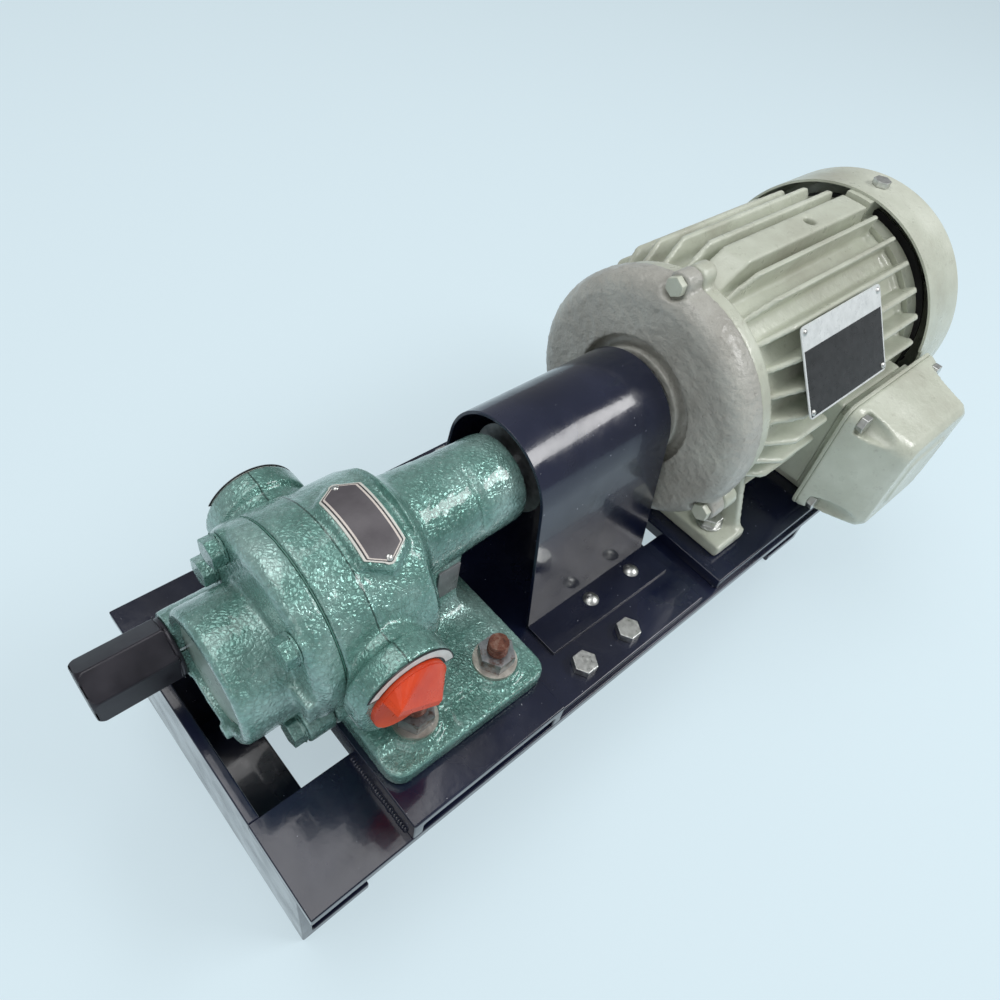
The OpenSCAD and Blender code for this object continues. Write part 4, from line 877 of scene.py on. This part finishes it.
def threadTree():
    sizes = {"Radius": 0.005, "Turns": 5.0, "Length": 0.0075, "Wire": 0.0004}
    tree, ins, out = newTree("studThreads", sizes)
    coil = addNode(tree, "GeometryNodeCurveSpiral", Resolution=40, Rotations=ins["Turns"],
                   Height=ins["Length"], Start_Radius=ins["Radius"], End_Radius=ins["Radius"])
    ridge = addNode(tree, "GeometryNodeCurvePrimitiveCircle", Resolution=6, Radius=ins["Wire"])
    tube = addNode(tree, "GeometryNodeCurveToMesh", Curve=coil.outputs[0],
                   Profile_Curve=ridge.outputs[0], Fill_Caps=True)
    put = addNode(tree, "GeometryNodeInstanceOnPoints", Points=ins["Geometry"], Instance=tube.outputs[0])
    return closeTree(tree, ins, out, put.outputs[0])


threadFoot = washerTop / mm + threads["overWasher"]
studs = [(x, y, threadFoot) for x in threads["x"] for y in threads["y"]]
grow("studThreads", threadTree(), studs, [], "rusty_steel", threads)

beads = {
    "Step": 0.0016, "Size": 0.0017,
    "ends": (-170.5, 214), "endY": (48, 91),
    "sides": ((-73, 49), (66, 213)), "sideY": 92,
}
scaleSizes = {"least": 0.75, "most": 1.15, "seed": 7}


def beadTree(cfg):
    tree, ins, out = newTree("weldScales", {"Step": 0.0017, "Size": 0.0019})
    line = addNode(tree, "GeometryNodeMeshToCurve", Mesh=ins["Geometry"])
    dots = tree.nodes.new("GeometryNodeResampleCurve")
    dots.mode = "LENGTH"
    tree.links.new(line.outputs[0], dots.inputs["Curve"])
    tree.links.new(ins["Step"], dots.inputs["Length"])
    scale = addNode(tree, "GeometryNodeMeshIcoSphere", Radius=ins["Size"], Subdivisions=2)
    wobble = tree.nodes.new("FunctionNodeRandomValue")
    wobble.data_type = "FLOAT_VECTOR"
    wobble.inputs[0].default_value = grey(cfg["least"])
    wobble.inputs[1].default_value = grey(cfg["most"])
    wobble.inputs["Seed"].default_value = cfg["seed"]
    put = addNode(tree, "GeometryNodeInstanceOnPoints", Points=dots.outputs[0],
                  Instance=scale.outputs[0], Scale=wobble.outputs[0])
    return closeTree(tree, ins, out, put.outputs[0])


def beadLines(cfg):
    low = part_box("mid_plate")[0].z / mm
    (front, rear), (inner, outer), y = cfg["ends"], cfg["endY"], cfg["sideY"]
    lines = [((front, s * inner, low), (front, s * outer, low)) for s in (-1, 1)]
    for start, end in cfg["sides"]:
        lines += [((start, s * y, low), (end, s * y, low)) for s in (-1, 1)]
    return lines + [((rear, s * inner, low), (rear, s * outer, low)) for s in (-1, 1)]


lines = beadLines(beads)
beadEnds = [point for line in lines for point in line]
beadEdges = [(2 * i, 2 * i + 1) for i in range(len(lines))]
grow("weldBeads", beadTree(scaleSizes), beadEnds, beadEdges, "navy_paint", beads)
print("small pieces made")

sizes = {"cad": [list(v) for v in cadBox], "scene": [list(v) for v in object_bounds()]}
